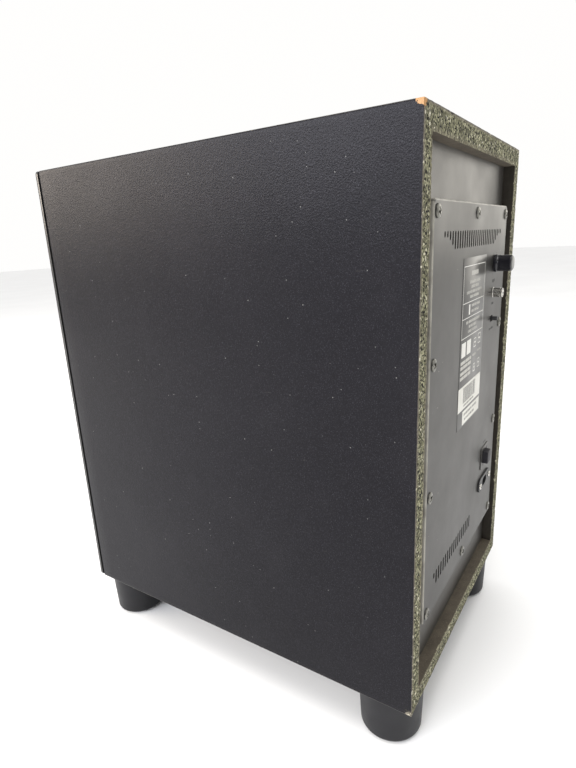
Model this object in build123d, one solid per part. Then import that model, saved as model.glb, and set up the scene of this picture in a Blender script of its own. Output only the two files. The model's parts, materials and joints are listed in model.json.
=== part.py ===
from build123d import *
import math
import os

# Free-standing powered subwoofer: vinyl-wrapped chipboard cabinet on four feet, with a plate amplifier
# at the back and a front-firing woofer behind a removable grille. Millimetres.
# Frame: +X to the left when facing the amplifier, +Y out of the amplifier, +Z up; the origin is the
# centre of the whole object's footprint, on the surface it stands on.

# Cabinet
CABINET_WIDTH = 263.0
CABINET_HEIGHT = 420.0
TOTAL_DEPTH = 374.3            # grille front to the tip of the level knob
KNOB_PAST_REAR = 13.6          # the knob stands this far behind the cabinet's rear edge
FOOT_HEIGHT = 43.5
FOOT_TOP_RADIUS = 26.5
FOOT_LOW_RADIUS = 25.0
FOOT_ROUND = 4.5               # radius of the foot's lower edge
FOOT_SEAT = 31.0               # height of the seat its screw pulls on
WALL = 15.0                    # board with its vinyl
VINYL = 0.35
REAR_RECESS = 10.0             # rear panel below the boards' rear edges
PANEL = 15.0                   # rear panel and baffle thickness
BAFFLE_RECESS = 18.0
BATTEN = 18.0

# Grille
GRILLE_PLATE = 3.0
GRILLE_GAP = 2.5
CLOTH = 0.4
GRILLE_RIM = 12.0              # width of the frame's flat rim
PEG_RADIUS = 3.5
CUP_RADIUS = 6.5

# Amplifier plate
PLATE_WIDTH = 209.0
PLATE_BOTTOM = 60.0            # above the cabinet's bottom
PLATE_TOP = 370.0
PLATE_INSET = 2.1              # plate face below the boards' rear edges
PLATE_SHEET = 2.0
PLATE_CORNER = 4.5
FLANGE = 13.0                  # width of the plate's border that lies over the rear panel
COVER_DEPTH = 70.0
VENT_PITCH = 6.0
VENT_WIDTH = 2.9
VENT_LENGTH = 12.5
VENT_FIRST_X = 81.0
TOP_VENT_COUNT = 28
TOP_VENT_TOP = 350.2
TOP_VENT_ENDS = [4.2, 4.2, 6.1, 9.5]   # the slots shorten towards both ends of the row
LOW_VENT_COUNT = 18
LOW_VENT_TOP = 93.8

# Controls, from the cabinet's bottom
CONTROL_X = -65.0
KNOB_Z = 321.0
KNOB_RADIUS = 7.5
SHAFT_RADIUS = 3.0
SHAFT_CLEARANCE = 0.05
JACK_Z = 295.5
JACK_RADIUS = 4.15
JACK_LENGTH = 8.6
SLIDE_Z = 272.0
LEVER_TRAVEL = 3.4
LEVER_SIZE = (4.0, 3.4)
POWER_X, POWER_Z = -66.0, 137.0
BEZEL_SIZE = (26.0, 22.0)
BUTTON_SIZE = (12.0, 12.0)
BUTTON_PROUD = 5.5
BUTTON_TRAVEL = 3.0
INLET_X, INLET_Z = -68.0, 110.0
INLET_FLANGE = (42.0, 14.0)
INLET_SOCKET = (15.8, 8.6)
INLET_DEPTH = 12.0
INLET_PIN_SPACING = 8.6
INLET_PIN_RADIUS = 1.2
INLET_SCREW_X = 17.0

# Woofer, an eight-inch driver; depths are from the baffle's front face
WOOFER_Z = 245.0
FLANGE_RADIUS = 105.0
FLANGE_DEPTH = 4.0
BASKET_RADIUS = 94.5
SCREW_CIRCLE = 99.5
CONE_TRAVEL = 8.0
CONE_RADIUS = 76.0
SURROUND_SEAT = 1.7
COIL_RADIUS = 24.8
COIL_END = 74.0
PORT_Z = 85.0
PORT_RADIUS = 35.0
PORT_WALL = 2.5
PORT_LENGTH = 150.0

SCREW_HEAD = 4.5
SCREW_SHANK = 1.7
HOLE_CLEARANCE = 0.1

# Derived places
HALF_WIDTH = CABINET_WIDTH / 2
FRONT = -TOTAL_DEPTH / 2
REAR = TOTAL_DEPTH / 2 - KNOB_PAST_REAR
BOARD_FRONT = FRONT + GRILLE_PLATE + GRILLE_GAP
BAFFLE_FRONT = BOARD_FRONT + BAFFLE_RECESS
BAFFLE_BACK = BAFFLE_FRONT + PANEL
BOTTOM = FOOT_HEIGHT
TOP = FOOT_HEIGHT + CABINET_HEIGHT
MIDDLE = (BOTTOM + TOP) / 2
INSIDE_X = HALF_WIDTH - WALL
INSIDE_BOTTOM = BOTTOM + WALL
INSIDE_TOP = TOP - WALL
PANEL_BACK = REAR - REAR_RECESS
PANEL_INSIDE = PANEL_BACK - PANEL
PLATE_FACE = REAR - PLATE_INSET
PLATE_BACK = PLATE_FACE - PLATE_SHEET
PLATE_Z0 = BOTTOM + PLATE_BOTTOM
PLATE_Z1 = BOTTOM + PLATE_TOP
PLATE_MID = (PLATE_Z0 + PLATE_Z1) / 2
HALF_PLATE = PLATE_WIDTH / 2
CUT_X = HALF_PLATE - FLANGE
CUT_Z0 = PLATE_Z0 + FLANGE
CUT_Z1 = PLATE_Z1 - FLANGE
COVER_BACK = PLATE_BACK - COVER_DEPTH
FOOT_SIDE_INSET = 29.0
FOOT_REAR_INSET = 28.0
FOOT_PLACES = [(x, y) for x in (-HALF_WIDTH + FOOT_SIDE_INSET, HALF_WIDTH - FOOT_SIDE_INSET)
               for y in (FRONT + FOOT_TOP_RADIUS, REAR - FOOT_REAR_INSET)]


def box(x0, x1, y0, y1, z0, z1):
    """A block between two corners."""
    return Pos((x0 + x1) / 2, (y0 + y1) / 2, (z0 + z1) / 2) * Box(x1 - x0, y1 - y0, z1 - z0)


def rod_y(x, z, radius, y0, y1):
    """A cylinder along Y."""
    return Pos(x, (y0 + y1) / 2, z) * Rot(90, 0, 0) * Cylinder(radius, y1 - y0)


def rod_z(x, y, radius, z0, z1):
    """A cylinder along Z."""
    return Pos(x, y, (z0 + z1) / 2) * Cylinder(radius, z1 - z0)


def tube_y(x, z, outer, inner, y0, y1):
    """A tube along Y."""
    return rod_y(x, z, outer, y0, y1) - rod_y(x, z, inner, y0 - 1, y1 + 1)


def slab_y(sketch, y0, y1):
    """A flat outline in X and Z, given thickness from y0 to y1."""
    return Pos(0, y1, 0) * extrude(Plane.XZ * sketch, y1 - y0)


def face(*edges):
    """A closed flat outline from lines and arcs."""
    return make_face(Curve() + list(edges))


def turned_y(x, z, outline):
    """A turned piece about a Y-parallel axis; the outline is drawn as (radius, y)."""
    return Pos(x, 0, z) * revolve(outline, Axis.Y)


def turned_woofer(outline):
    """A turned woofer piece; the outline is drawn as (radius, depth behind the baffle's front face)."""
    return Pos(0, BAFFLE_FRONT, BOTTOM + WOOFER_Z) * revolve(outline, Axis.Y)


def polygon(points):
    """A closed flat outline with straight sides."""
    return make_face(Polyline(*points, close=True))


def group(pieces):
    """Separate solids kept together as one node."""
    return Compound(children=[solid for piece in pieces for solid in piece.solids()])


def plate_screw_places():
    """The ten screws round the amplifier plate: four down each side, and the middle of top and bottom."""
    low, high = BOTTOM + 67.5, BOTTOM + 362.5
    rows = [low + (high - low) * i / 3 for i in range(4)]
    sides = [(x, z) for x in (-97.0, 97.0) for z in rows]
    return sides + [(0.0, low), (0.0, high)]


def cross_screw_y(x, z, under_head, length, head=SCREW_HEAD, shank=SCREW_SHANK, way=1):
    """A pan-head screw along Y with a cross recess; way is +1 when the head points to +Y."""
    height = head * 0.6
    dome = ThreePointArc((head, 0.5), (head * 0.72, height * 0.8), (0, height))
    outline = face(Line((0, -length), (shank, -length)), Line((shank, -length), (shank, 0)),
                   Line((shank, 0), (head, 0)), Line((head, 0), (head, 0.5)), dome,
                   Line((0, height), (0, -length)))
    screw = revolve(outline, Axis.Y)
    for turn in (0, 90):
        blade = Pos(0, height, 0) * Box(head * 1.05, height * 1.1, head * 0.2)
        screw -= Rot(0, 45 + turn, 0) * blade
    if way < 0:
        screw = Rot(0, 0, 180) * screw
    return Pos(x, under_head, z) * screw


# ---------------------------------------------------------------- cabinet

def mitred_board(side):
    """One of the four boards that are folded round the cabinet, with mitred corners."""
    x, x_in = HALF_WIDTH - VINYL, INSIDE_X
    z0, z1, z0_in, z1_in = BOTTOM + VINYL, TOP - VINYL, INSIDE_BOTTOM, INSIDE_TOP
    outlines = {
        "top": [(-x, z1), (x, z1), (x_in, z1_in), (-x_in, z1_in)],
        "bottom": [(-x, z0), (x, z0), (x_in, z0_in), (-x_in, z0_in)],
        "left": [(x, z0), (x, z1), (x_in, z1_in), (x_in, z0_in)],
        "right": [(-x, z0), (-x, z1), (-x_in, z1_in), (-x_in, z0_in)],
    }
    return slab_y(polygon(outlines[side]), BOARD_FRONT + VINYL, REAR)


def bottom_panel():
    """The bottom board with pilot holes for the feet."""
    board = mitred_board("bottom")
    for x, y in FOOT_PLACES:
        board -= rod_z(x, y, 2.0 + HOLE_CLEARANCE, BOTTOM - 1, BOTTOM + 12.5)
    return board


def vinyl_wrap():
    """The film round the four boards, turned over their front edges."""
    outside = box(-HALF_WIDTH, HALF_WIDTH, BOARD_FRONT, REAR, BOTTOM, TOP)
    boards = box(-HALF_WIDTH + VINYL, HALF_WIDTH - VINYL, BOARD_FRONT + VINYL, REAR + 1,
                 BOTTOM + VINYL, TOP - VINYL)
    mouth = box(-INSIDE_X, INSIDE_X, BOARD_FRONT - 1, REAR + 1, INSIDE_BOTTOM, INSIDE_TOP)
    film = outside - boards - mouth
    for x, y in FOOT_PLACES:
        film -= rod_z(x, y, 2.0 + HOLE_CLEARANCE, BOTTOM - 1, BOTTOM + 1)
    return film


def rear_panel():
    """The board in the back of the cabinet, with the amplifier's cut-out and screw pilots."""
    panel = box(-INSIDE_X, INSIDE_X, PANEL_INSIDE, PANEL_BACK, INSIDE_BOTTOM, INSIDE_TOP)
    panel -= box(-CUT_X, CUT_X, PANEL_INSIDE - 1, PANEL_BACK + 1, CUT_Z0, CUT_Z1)
    for x, z in plate_screw_places():
        panel -= rod_y(x, z, SCREW_SHANK + HOLE_CLEARANCE, PANEL_INSIDE - 1, PANEL_BACK + 1)
    return panel


def front_baffle():
    """The woofer's board: a rebated woofer hole, the port's hole, grille cups and screw pilots."""
    z = BOTTOM + WOOFER_Z
    board = box(-INSIDE_X, INSIDE_X, BAFFLE_FRONT, BAFFLE_BACK, INSIDE_BOTTOM, INSIDE_TOP)
    board -= rod_y(0, z, BASKET_RADIUS + 1, BAFFLE_FRONT - 1, BAFFLE_BACK + 1)
    board -= rod_y(0, z, FLANGE_RADIUS + 0.4, BAFFLE_FRONT - 1, BAFFLE_FRONT + FLANGE_DEPTH)
    board -= rod_y(0, BOTTOM + PORT_Z, PORT_RADIUS + PORT_WALL, BAFFLE_FRONT - 1, BAFFLE_BACK + 1)
    board -= rod_y(0, BOTTOM + PORT_Z, PORT_RADIUS + 10.2, BAFFLE_FRONT - 1, BAFFLE_FRONT + 3)
    for x, z_cup in grille_cup_places():
        board -= rod_y(x, z_cup, CUP_RADIUS, BAFFLE_FRONT - 1, BAFFLE_FRONT + 11)
    for x, z_screw in woofer_screw_places():
        board -= rod_y(x, z_screw, SCREW_SHANK + HOLE_CLEARANCE, BAFFLE_FRONT, BAFFLE_BACK + 1)
    return board


def battens():
    """Glue battens behind the baffle and in front of the rear panel, along the left and right walls."""
    strips = []
    for way in (-1, 1):
        x0, x1 = sorted((way * INSIDE_X, way * (INSIDE_X - BATTEN)))
        strips.append(box(x0, x1, BAFFLE_BACK, BAFFLE_BACK + BATTEN, INSIDE_BOTTOM, INSIDE_TOP))
        strips.append(box(x0, x1, PANEL_INSIDE - BATTEN, PANEL_INSIDE, INSIDE_BOTTOM, INSIDE_TOP))
    return group(strips)


def damping_wadding():
    """A mat of polyester wadding folded along both sides and the top, between the battens."""
    mat = 20.0
    y0, y1 = BAFFLE_BACK + BATTEN + 4, PANEL_INSIDE - BATTEN - 4
    x, z0, z1 = INSIDE_X - 0.5, INSIDE_BOTTOM + 20, INSIDE_TOP - 0.5
    outer = Pos(0, (z0 + z1) / 2) * Rectangle(2 * x, z1 - z0)
    inner = Pos(0, (z0 + z1) / 2 - mat) * Rectangle(2 * (x - mat), z1 - z0)
    return slab_y(outer - inner, y0, y1)


def foot(x, y):
    """A turned plastic foot with a rounded lower edge and a deep screw recess."""
    standoff, flat_radius = 0.8, FOOT_LOW_RADIUS - FOOT_ROUND
    side_low = (FOOT_LOW_RADIUS, standoff + FOOT_ROUND)
    edge = RadiusArc(side_low, (flat_radius, standoff), FOOT_ROUND)
    outline = face(Line((0, standoff), (flat_radius, standoff)), edge,
                   Line(side_low, (FOOT_TOP_RADIUS, BOTTOM)), Line((FOOT_TOP_RADIUS, BOTTOM), (0, BOTTOM)),
                   Line((0, BOTTOM), (0, standoff)))
    solid = Pos(x, y, 0) * revolve(Plane.XZ * outline, Axis.Z)
    solid -= rod_z(x, y, 6.0, standoff - 1, FOOT_SEAT)
    return solid - rod_z(x, y, 2.0 + HOLE_CLEARANCE, FOOT_SEAT - 1, BOTTOM + 1)


def foot_pads():
    """A rubber disc under each foot."""
    return group([rod_z(x, y, 17.0, 0, 0.8) for x, y in FOOT_PLACES])


def foot_screws():
    """The screw that holds each foot, seated at the top of its recess."""
    return [rod_z(x, y, 5.0, FOOT_SEAT - 3, FOOT_SEAT) + rod_z(x, y, 2.0, FOOT_SEAT - 1, BOTTOM + 12)
            for x, y in FOOT_PLACES]


# ---------------------------------------------------------------- grille

def grille_cup_places():
    """The four places where the grille's pegs plug into the baffle."""
    return [(x, z) for x in (-104.0, 104.0) for z in (INSIDE_BOTTOM + 16, INSIDE_TOP - 16)]


def grille_frame():
    """A moulded frame: flat rim, stiffening rib that fits the baffle's recess, cross bar and pegs."""
    back = FRONT + GRILLE_PLATE
    rib_x, rib_z0, rib_z1 = INSIDE_X - 1.5, INSIDE_BOTTOM + 1.5, INSIDE_TOP - 1.5
    rim = Pos(0, MIDDLE) * RectangleRounded(CABINET_WIDTH, CABINET_HEIGHT, 3.0)
    window = Pos(0, MIDDLE) * RectangleRounded(2 * (rib_x - GRILLE_RIM), rib_z1 - rib_z0 - 2 * GRILLE_RIM, 14)
    frame = slab_y(rim - window, FRONT + CLOTH, back)
    outer_rib, inner_rib = Rectangle(2 * rib_x, rib_z1 - rib_z0), Rectangle(2 * rib_x - 6, rib_z1 - rib_z0 - 6)
    rib = Pos(0, MIDDLE) * (outer_rib - inner_rib)
    frame += slab_y(rib, back, BAFFLE_FRONT - 3)
    bar_z = BOTTOM + (WOOFER_Z - FLANGE_RADIUS + PORT_Z + PORT_RADIUS) / 2
    frame += box(-rib_x, rib_x, FRONT + CLOTH, back + 3, bar_z - 3.5, bar_z + 3.5)
    for x, z in grille_cup_places():
        frame += rod_y(x, z, 5.5, back, BAFFLE_FRONT - 3)
        frame += rod_y(x, z, PEG_RADIUS, BAFFLE_FRONT - 4, BAFFLE_FRONT + 8)
    return frame


def grille_cloth():
    """Cloth stretched over the frame's front."""
    return slab_y(Pos(0, MIDDLE) * RectangleRounded(CABINET_WIDTH, CABINET_HEIGHT, 3.0), FRONT, FRONT + CLOTH)


def grille_cups():
    """Rubber cups in the baffle that grip the pegs."""
    cups = []
    for x, z in grille_cup_places():
        cup = rod_y(x, z, CUP_RADIUS, BAFFLE_FRONT, BAFFLE_FRONT + 11)
        cups.append(cup - rod_y(x, z, PEG_RADIUS + 0.05, BAFFLE_FRONT - 1, BAFFLE_FRONT + 9))
    return group(cups)


# ---------------------------------------------------------------- port and woofer

def port_tube():
    """A flared tube that lets the cabinet breathe."""
    y0, y1 = BAFFLE_FRONT, BAFFLE_FRONT + PORT_LENGTH
    lip, flare = PORT_RADIUS + 10, 8.0
    wall = PORT_RADIUS + PORT_WALL
    outline = face(Line((wall, y1), (PORT_RADIUS, y1)), Line((PORT_RADIUS, y1), (PORT_RADIUS, y0 + flare)),
                   RadiusArc((PORT_RADIUS, y0 + flare), (PORT_RADIUS + flare, y0), -flare),
                   Line((PORT_RADIUS + flare, y0), (lip, y0)), Line((lip, y0), (lip, y0 + 2.8)),
                   Line((lip, y0 + 2.8), (wall, y0 + 2.8)), Line((wall, y0 + 2.8), (wall, y1)))
    return turned_y(0, BOTTOM + PORT_Z, outline)


def woofer_screw_places():
    """Eight screws round the woofer's flange."""
    places = []
    for i in range(8):
        angle = math.radians(22.5 + 45 * i)
        places.append((SCREW_CIRCLE * math.cos(angle), BOTTOM + WOOFER_Z + SCREW_CIRCLE * math.sin(angle)))
    return places


def woofer_basket():
    """Pressed-steel basket: flange, wall, eight arms with windows between them, spider seat and floor."""
    sheet = 1.5
    floor = 60.5
    outline = polygon([
        (FLANGE_RADIUS, 2.5), (FLANGE_RADIUS, 4.0), (BASKET_RADIUS, 4.0), (BASKET_RADIUS, 14.0),
        (70.0, 47.0), (60.0, 47.0), (60.0, floor + sheet), (30.0, floor + sheet), (30.0, floor),
        (60.0 - sheet, floor), (60.0 - sheet, 47.0 - sheet), (69.3, 47.0 - sheet),
        (BASKET_RADIUS - sheet, 13.5), (BASKET_RADIUS - sheet, 2.5)])
    basket = turned_woofer(outline)
    for i in range(8):
        window = Rot(0, 45 * i, 0) * Pos(82, 28, 0) * Box(40, 22, 42)
        basket -= Pos(0, BAFFLE_FRONT, BOTTOM + WOOFER_Z) * window
    for x, z in woofer_screw_places():
        basket -= rod_y(x, z, SCREW_SHANK + 0.4, BAFFLE_FRONT - 1, BAFFLE_FRONT + 6)
    return basket


def woofer_gasket():
    """Rubber ring on the flange, over the surround's edge."""
    ring = turned_woofer(polygon([(93.0, 0), (FLANGE_RADIUS, 0), (FLANGE_RADIUS, 2.5), (96.2, 2.5),
                                  (96.2, SURROUND_SEAT), (93.0, SURROUND_SEAT)]))
    for x, z in woofer_screw_places():
        ring -= rod_y(x, z, SCREW_SHANK + 0.4, BAFFLE_FRONT - 1, BAFFLE_FRONT + 6)
    return ring


def woofer_screws():
    """Screws through the gasket and flange into the baffle."""
    return [cross_screw_y(x, z, BAFFLE_FRONT, 14, head=3.6, way=-1) for x, z in woofer_screw_places()]


def magnet_pieces():
    """Top plate, ferrite ring, and the yoke with its vented pole, clear of the coil's longest stroke."""
    back = COIL_END + 2 * CONE_TRAVEL
    top_plate = turned_woofer(polygon([(27.2, 62), (50, 62), (50, 70), (27.2, 70)]))
    magnet = turned_woofer(polygon([(32, 70), (60, 70), (60, back), (32, back)]))
    yoke = turned_woofer(polygon([(6, 62), (24, 62), (24, back), (50, back), (50, back + 8), (6, back + 8)]))
    return {"top_plate": top_plate, "magnet": magnet, "magnet_yoke": yoke}


def coil_pieces():
    """The former and the winding on it."""
    inner = 24.5
    wall = [(inner, 34.5), (COIL_RADIUS, 34.5), (COIL_RADIUS, COIL_END), (inner, COIL_END)]
    former = turned_woofer(polygon(wall))
    winding = turned_woofer(polygon([(COIL_RADIUS, 59), (26.4, 59), (26.4, 73), (COIL_RADIUS, 73)]))
    return {"voice_coil_former": former, "voice_coil": winding}


def woofer_cone():
    """Paper cone from the former to the surround, slightly bowed."""
    inner, outer = (25.0, 36.0), (CONE_RADIUS, 2.7)
    bow, thick = (49.5, 17.4), 0.9
    front = ThreePointArc(inner, bow, outer)
    back = ThreePointArc((inner[0], inner[1] + thick), (bow[0], bow[1] + thick), (outer[0], outer[1] + thick))
    outline = face(front, Line(outer, (outer[0], outer[1] + thick)), back,
                   Line(inner, (inner[0], inner[1] + thick)))
    return turned_woofer(outline)


def dust_cap():
    """Domed cap glued over the middle of the cone."""
    rim, rise, thick, base = 33.0, 9.0, 0.6, 28.5
    ball = (rim ** 2 + rise ** 2) / (2 * rise)
    centre = base - rise + ball
    shell = Sphere(ball) - Sphere(ball - thick)
    cap = shell & Pos(0, base - rise / 2 - centre, 0) * Rot(90, 0, 0) * Cylinder(rim + 1, rise)
    return Pos(0, BAFFLE_FRONT + centre, BOTTOM + WOOFER_Z) * cap


def surround():
    """Half-roll rubber surround between the cone's edge and the flange."""
    inner, outer, thick, seat = CONE_RADIUS - 2, 96.0, 0.8, SURROUND_SEAT
    roll_in, roll_out, rise = CONE_RADIUS, 92.0, 7.0
    middle = (roll_in + roll_out) / 2
    outer_arc = ThreePointArc((roll_in, seat), (middle, seat - rise), (roll_out, seat))
    inner_arc = ThreePointArc((roll_in + thick, seat + thick), (middle, seat + thick - rise),
                              (roll_out - thick, seat + thick))
    outline = face(Line((inner, seat), (roll_in, seat)), outer_arc, Line((roll_out, seat), (outer, seat)),
                   Line((outer, seat), (outer, seat + thick)),
                   Line((outer, seat + thick), (roll_out - thick, seat + thick)), inner_arc,
                   Line((roll_in + thick, seat + thick), (inner, seat + thick)),
                   Line((inner, seat + thick), (inner, seat)))
    return turned_woofer(outline)


def spider():
    """Corrugated centring disc between the former and the basket's shelf."""
    first, last, waves, rise, thick, seat = 25.2, 58.0, 5, 1.6, 0.5, 44.6
    steps = 2 * waves
    crest = [(first + (last - first) * i / steps, seat + (rise if i % 2 else 0)) for i in range(steps + 1)]
    valley = [(r, s - thick) for r, s in reversed(crest)]
    return turned_woofer(polygon(crest + valley))


def terminal_strip():
    """Two tags on a board, on the basket's lower side."""
    z, y = BOTTOM + WOOFER_Z - 66, BAFFLE_FRONT + 50
    board = box(-12, 12, y, y + 1.6, z - 9, z + 5.9)
    for x in (-7, 7):
        board += box(x - 2.4, x + 2.4, y + 1.6, y + 8.5, z - 5.4, z - 4.6)
    return board


def tinsel_leads():
    """Two braided leads from the terminal strip to the back of the cone."""
    z = BOTTOM + WOOFER_Z
    leads = []
    for x in (-7, 7):
        route = [(x, BAFFLE_FRONT + 49.0, z - 70), (x, BAFFLE_FRONT + 44.5, z - 79),
                 (x, BAFFLE_FRONT + 35, z - 79), (x, BAFFLE_FRONT + 27, z - 63),
                 (x, BAFFLE_FRONT + 22, z - 47)]
        path = FilletPolyline(*route, radius=3.5)
        start = Plane(origin=path @ 0, z_dir=path % 0)
        leads.append(sweep(start * Circle(0.7), path=path))
    return group(leads)


# ---------------------------------------------------------------- amplifier plate and controls

def vent_slots():
    """Outline of all vent slots in the plate."""
    ends = TOP_VENT_ENDS + [VENT_LENGTH] * (TOP_VENT_COUNT - 2 * len(TOP_VENT_ENDS)) + TOP_VENT_ENDS[::-1]
    slots = []
    for i, length in enumerate(ends):
        place = Pos(VENT_FIRST_X - VENT_PITCH * i, BOTTOM + TOP_VENT_TOP - length / 2)
        slots.append(place * SlotOverall(length, VENT_WIDTH, rotation=90))
    for i in range(LOW_VENT_COUNT):
        length = 5.0 if i == 0 else VENT_LENGTH
        place = Pos(VENT_FIRST_X - VENT_PITCH * i, BOTTOM + LOW_VENT_TOP - length / 2)
        slots.append(place * SlotOverall(length, VENT_WIDTH, rotation=90))
    return Sketch() + slots


def amp_plate():
    """Folded steel plate: face, skirt down to the gasket, vents and holes for screws and controls."""
    outline = RectangleRounded(PLATE_WIDTH, PLATE_Z1 - PLATE_Z0, PLATE_CORNER)
    hollow = RectangleRounded(PLATE_WIDTH - 2 * PLATE_SHEET, PLATE_Z1 - PLATE_Z0 - 2 * PLATE_SHEET,
                              PLATE_CORNER - PLATE_SHEET)
    plate = slab_y(Pos(0, PLATE_MID) * outline, PANEL_BACK, PLATE_FACE)
    plate = fillet(plate.faces().sort_by(Axis.Y)[-1].edges(), 1.2)
    plate -= slab_y(Pos(0, PLATE_MID) * hollow, PANEL_BACK - 1, PLATE_BACK)
    y0, y1 = PLATE_BACK - 1, PLATE_FACE + 1
    plate -= slab_y(vent_slots(), y0, y1)
    for x, z in plate_screw_places():
        plate -= rod_y(x, z, SCREW_SHANK + HOLE_CLEARANCE, y0, y1)
    plate -= rod_y(CONTROL_X, BOTTOM + KNOB_Z, 3.6, y0, y1)
    plate -= rod_y(CONTROL_X, BOTTOM + JACK_Z, 3.8, y0, y1)
    plate -= box(CONTROL_X - 4.0, CONTROL_X + 4.0, y0, y1, BOTTOM + SLIDE_Z - 2.8, BOTTOM + SLIDE_Z + 2.8)
    half_x, half_z = BEZEL_SIZE[0] / 2 - 2, BEZEL_SIZE[1] / 2 - 2
    power_z = BOTTOM + POWER_Z
    plate -= box(POWER_X - half_x, POWER_X + half_x, y0, y1, power_z - half_z, power_z + half_z)
    inlet_z = BOTTOM + INLET_Z
    plate -= box(INLET_X - 10.2, INLET_X + 10.2, y0, y1, inlet_z - 6.2, inlet_z + 6.2)
    for way in (-1, 1):
        plate -= rod_y(INLET_X + way * INLET_SCREW_X, inlet_z, 1.3, y0, y1)
    return plate


def amp_gasket():
    """Foam ring between the plate's border and the rear panel."""
    outer = Rectangle(PLATE_WIDTH - 2 * PLATE_SHEET - 2, PLATE_Z1 - PLATE_Z0 - 2 * PLATE_SHEET - 2)
    inner = Rectangle(2 * CUT_X + 0.4, CUT_Z1 - CUT_Z0 + 0.4)
    ring = slab_y(Pos(0, PLATE_MID) * (outer - inner), PANEL_BACK, PLATE_BACK)
    for x, z in plate_screw_places():
        ring -= rod_y(x, z, SCREW_SHANK + HOLE_CLEARANCE, PANEL_BACK - 1, PLATE_BACK + 1)
    return ring


def amp_back_cover():
    """Steel box behind the plate that closes the electronics off from the cabinet's air."""
    sheet, gap = 1.2, 1.0
    outer = Pos(0, PLATE_MID) * Rectangle(2 * (CUT_X - gap), CUT_Z1 - CUT_Z0 - 2 * gap)
    inner = Pos(0, PLATE_MID) * Rectangle(2 * (CUT_X - gap - sheet), CUT_Z1 - CUT_Z0 - 2 * (gap + sheet))
    cover = slab_y(outer, COVER_BACK, PLATE_BACK) - slab_y(inner, COVER_BACK + sheet, PLATE_BACK + 1)
    return cover - rod_y(GROMMET[0], GROMMET[2], 7.0, COVER_BACK - 1, COVER_BACK + 2)


def amp_plate_screws():
    """The ten screws that hold the plate."""
    return group([cross_screw_y(x, z, PLATE_FACE, 21) for x, z in plate_screw_places()])


def plate_labels():
    """Thin plastic rating label, with two paper stickers over its lower end."""
    label = box(-34.2, 34.2, PLATE_FACE, PLATE_FACE + 0.2, BOTTOM + 194.8, BOTTOM + 330.3)
    y0, y1 = PLATE_FACE + 0.2, PLATE_FACE + 0.3
    large = box(-32.4, 34.0, y0, y1, BOTTOM + 209.8, BOTTOM + 229.8)
    small = box(-32.0, 19.9, y0, y1, BOTTOM + 196, BOTTOM + 207.6)
    return group([label, large, small])


def level_knob():
    """Turned knob: base ring, fluted grip, stepped cap and a bore for the shaft."""
    y0, tip = PLATE_FACE + 0.35, REAR + KNOB_PAST_REAR
    grip_radius, cap_radius, step = 6.9, 5.9, REAR + 11.6
    outline = polygon([(0, y0), (KNOB_RADIUS, y0), (KNOB_RADIUS, y0 + 2.6), (grip_radius, y0 + 3.2),
                       (grip_radius, step), (cap_radius, step + 0.4), (cap_radius, tip - 0.6),
                       (cap_radius - 0.6, tip), (0, tip)])
    knob = turned_y(CONTROL_X, BOTTOM + KNOB_Z, outline)
    for i in range(24):
        groove = Pos(grip_radius + 0.15, (y0 + 4 + step) / 2, 0) * Box(0.7, step - y0 - 4, 0.6)
        flute = Rot(0, 15 * i, 0) * groove
        knob -= Pos(CONTROL_X, 0, BOTTOM + KNOB_Z) * flute
    knob -= rod_y(CONTROL_X, BOTTOM + KNOB_Z, 4.6, y0 - 1, y0 + 3.0)
    return knob - rod_y(CONTROL_X, BOTTOM + KNOB_Z, SHAFT_RADIUS + 0.02, y0, REAR + 9.5)


def level_shaft():
    """The potentiometer's shaft."""
    return rod_y(CONTROL_X, BOTTOM + KNOB_Z, SHAFT_RADIUS, PLATE_BACK - 10, REAR + 9.0)


def level_pot():
    """Potentiometer body with its bushing through the plate."""
    x, z = CONTROL_X, BOTTOM + KNOB_Z
    body = box(x - 8.5, x + 8.5, PLATE_BACK - 13, PLATE_BACK - 1, z - 8.5, z + 8.5)
    body += rod_y(x, z, 3.5, PLATE_BACK - 2, PLATE_FACE + 2.2)
    return body - rod_y(x, z, SHAFT_RADIUS + SHAFT_CLEARANCE, PLATE_BACK - 11, PLATE_FACE + 3)


def input_jack():
    """Phono jack: nickel shell with a flange, white insulator and split centre contact."""
    x, z = CONTROL_X, BOTTOM + JACK_Z
    end = PLATE_FACE + JACK_LENGTH
    shell = rod_y(x, z, JACK_RADIUS, PLATE_FACE, end) + rod_y(x, z, 5.6, PLATE_FACE, PLATE_FACE + 1.0)
    shell += rod_y(x, z, 3.7, PLATE_BACK - 4, PLATE_FACE + 0.5)
    shell -= rod_y(x, z, 3.3, PLATE_BACK - 5, end + 1)
    insulator = rod_y(x, z, 3.28, PLATE_BACK - 6, end - 0.6)
    insulator -= rod_y(x, z, 2.0, PLATE_BACK - 7, end)
    contact = tube_y(x, z, 1.98, 1.6, PLATE_BACK - 10, end - 1.2)
    contact -= box(x - 0.3, x + 0.3, PLATE_BACK, end, z - 3, z + 3)
    return {"input_jack_shell": shell, "input_jack_insulator": insulator, "input_jack_contact": contact}


def slide_switch():
    """Slide switch: body behind the plate, and the lever that shows through its slot."""
    x, z = CONTROL_X, BOTTOM + SLIDE_Z
    body = box(x - 8, x + 8, PLATE_BACK - 8, PLATE_BACK - 0.2, z - 4.5, z + 4.5)
    body -= box(x - 4.2, x + 4.2, PLATE_BACK - 4, PLATE_BACK + 1, z - 2.1, z + 2.1)
    rest = x - LEVER_TRAVEL / 2
    half_x, half_z = LEVER_SIZE[0] / 2, LEVER_SIZE[1] / 2
    lever = box(rest - half_x, rest + half_x, PLATE_BACK - 3.6, PLATE_FACE + 5, z - half_z, z + half_z)
    lever = chamfer(lever.faces().sort_by(Axis.Y)[-1].edges(), 0.5)
    return {"phase_switch_body": body, "phase_switch_lever": lever}


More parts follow.
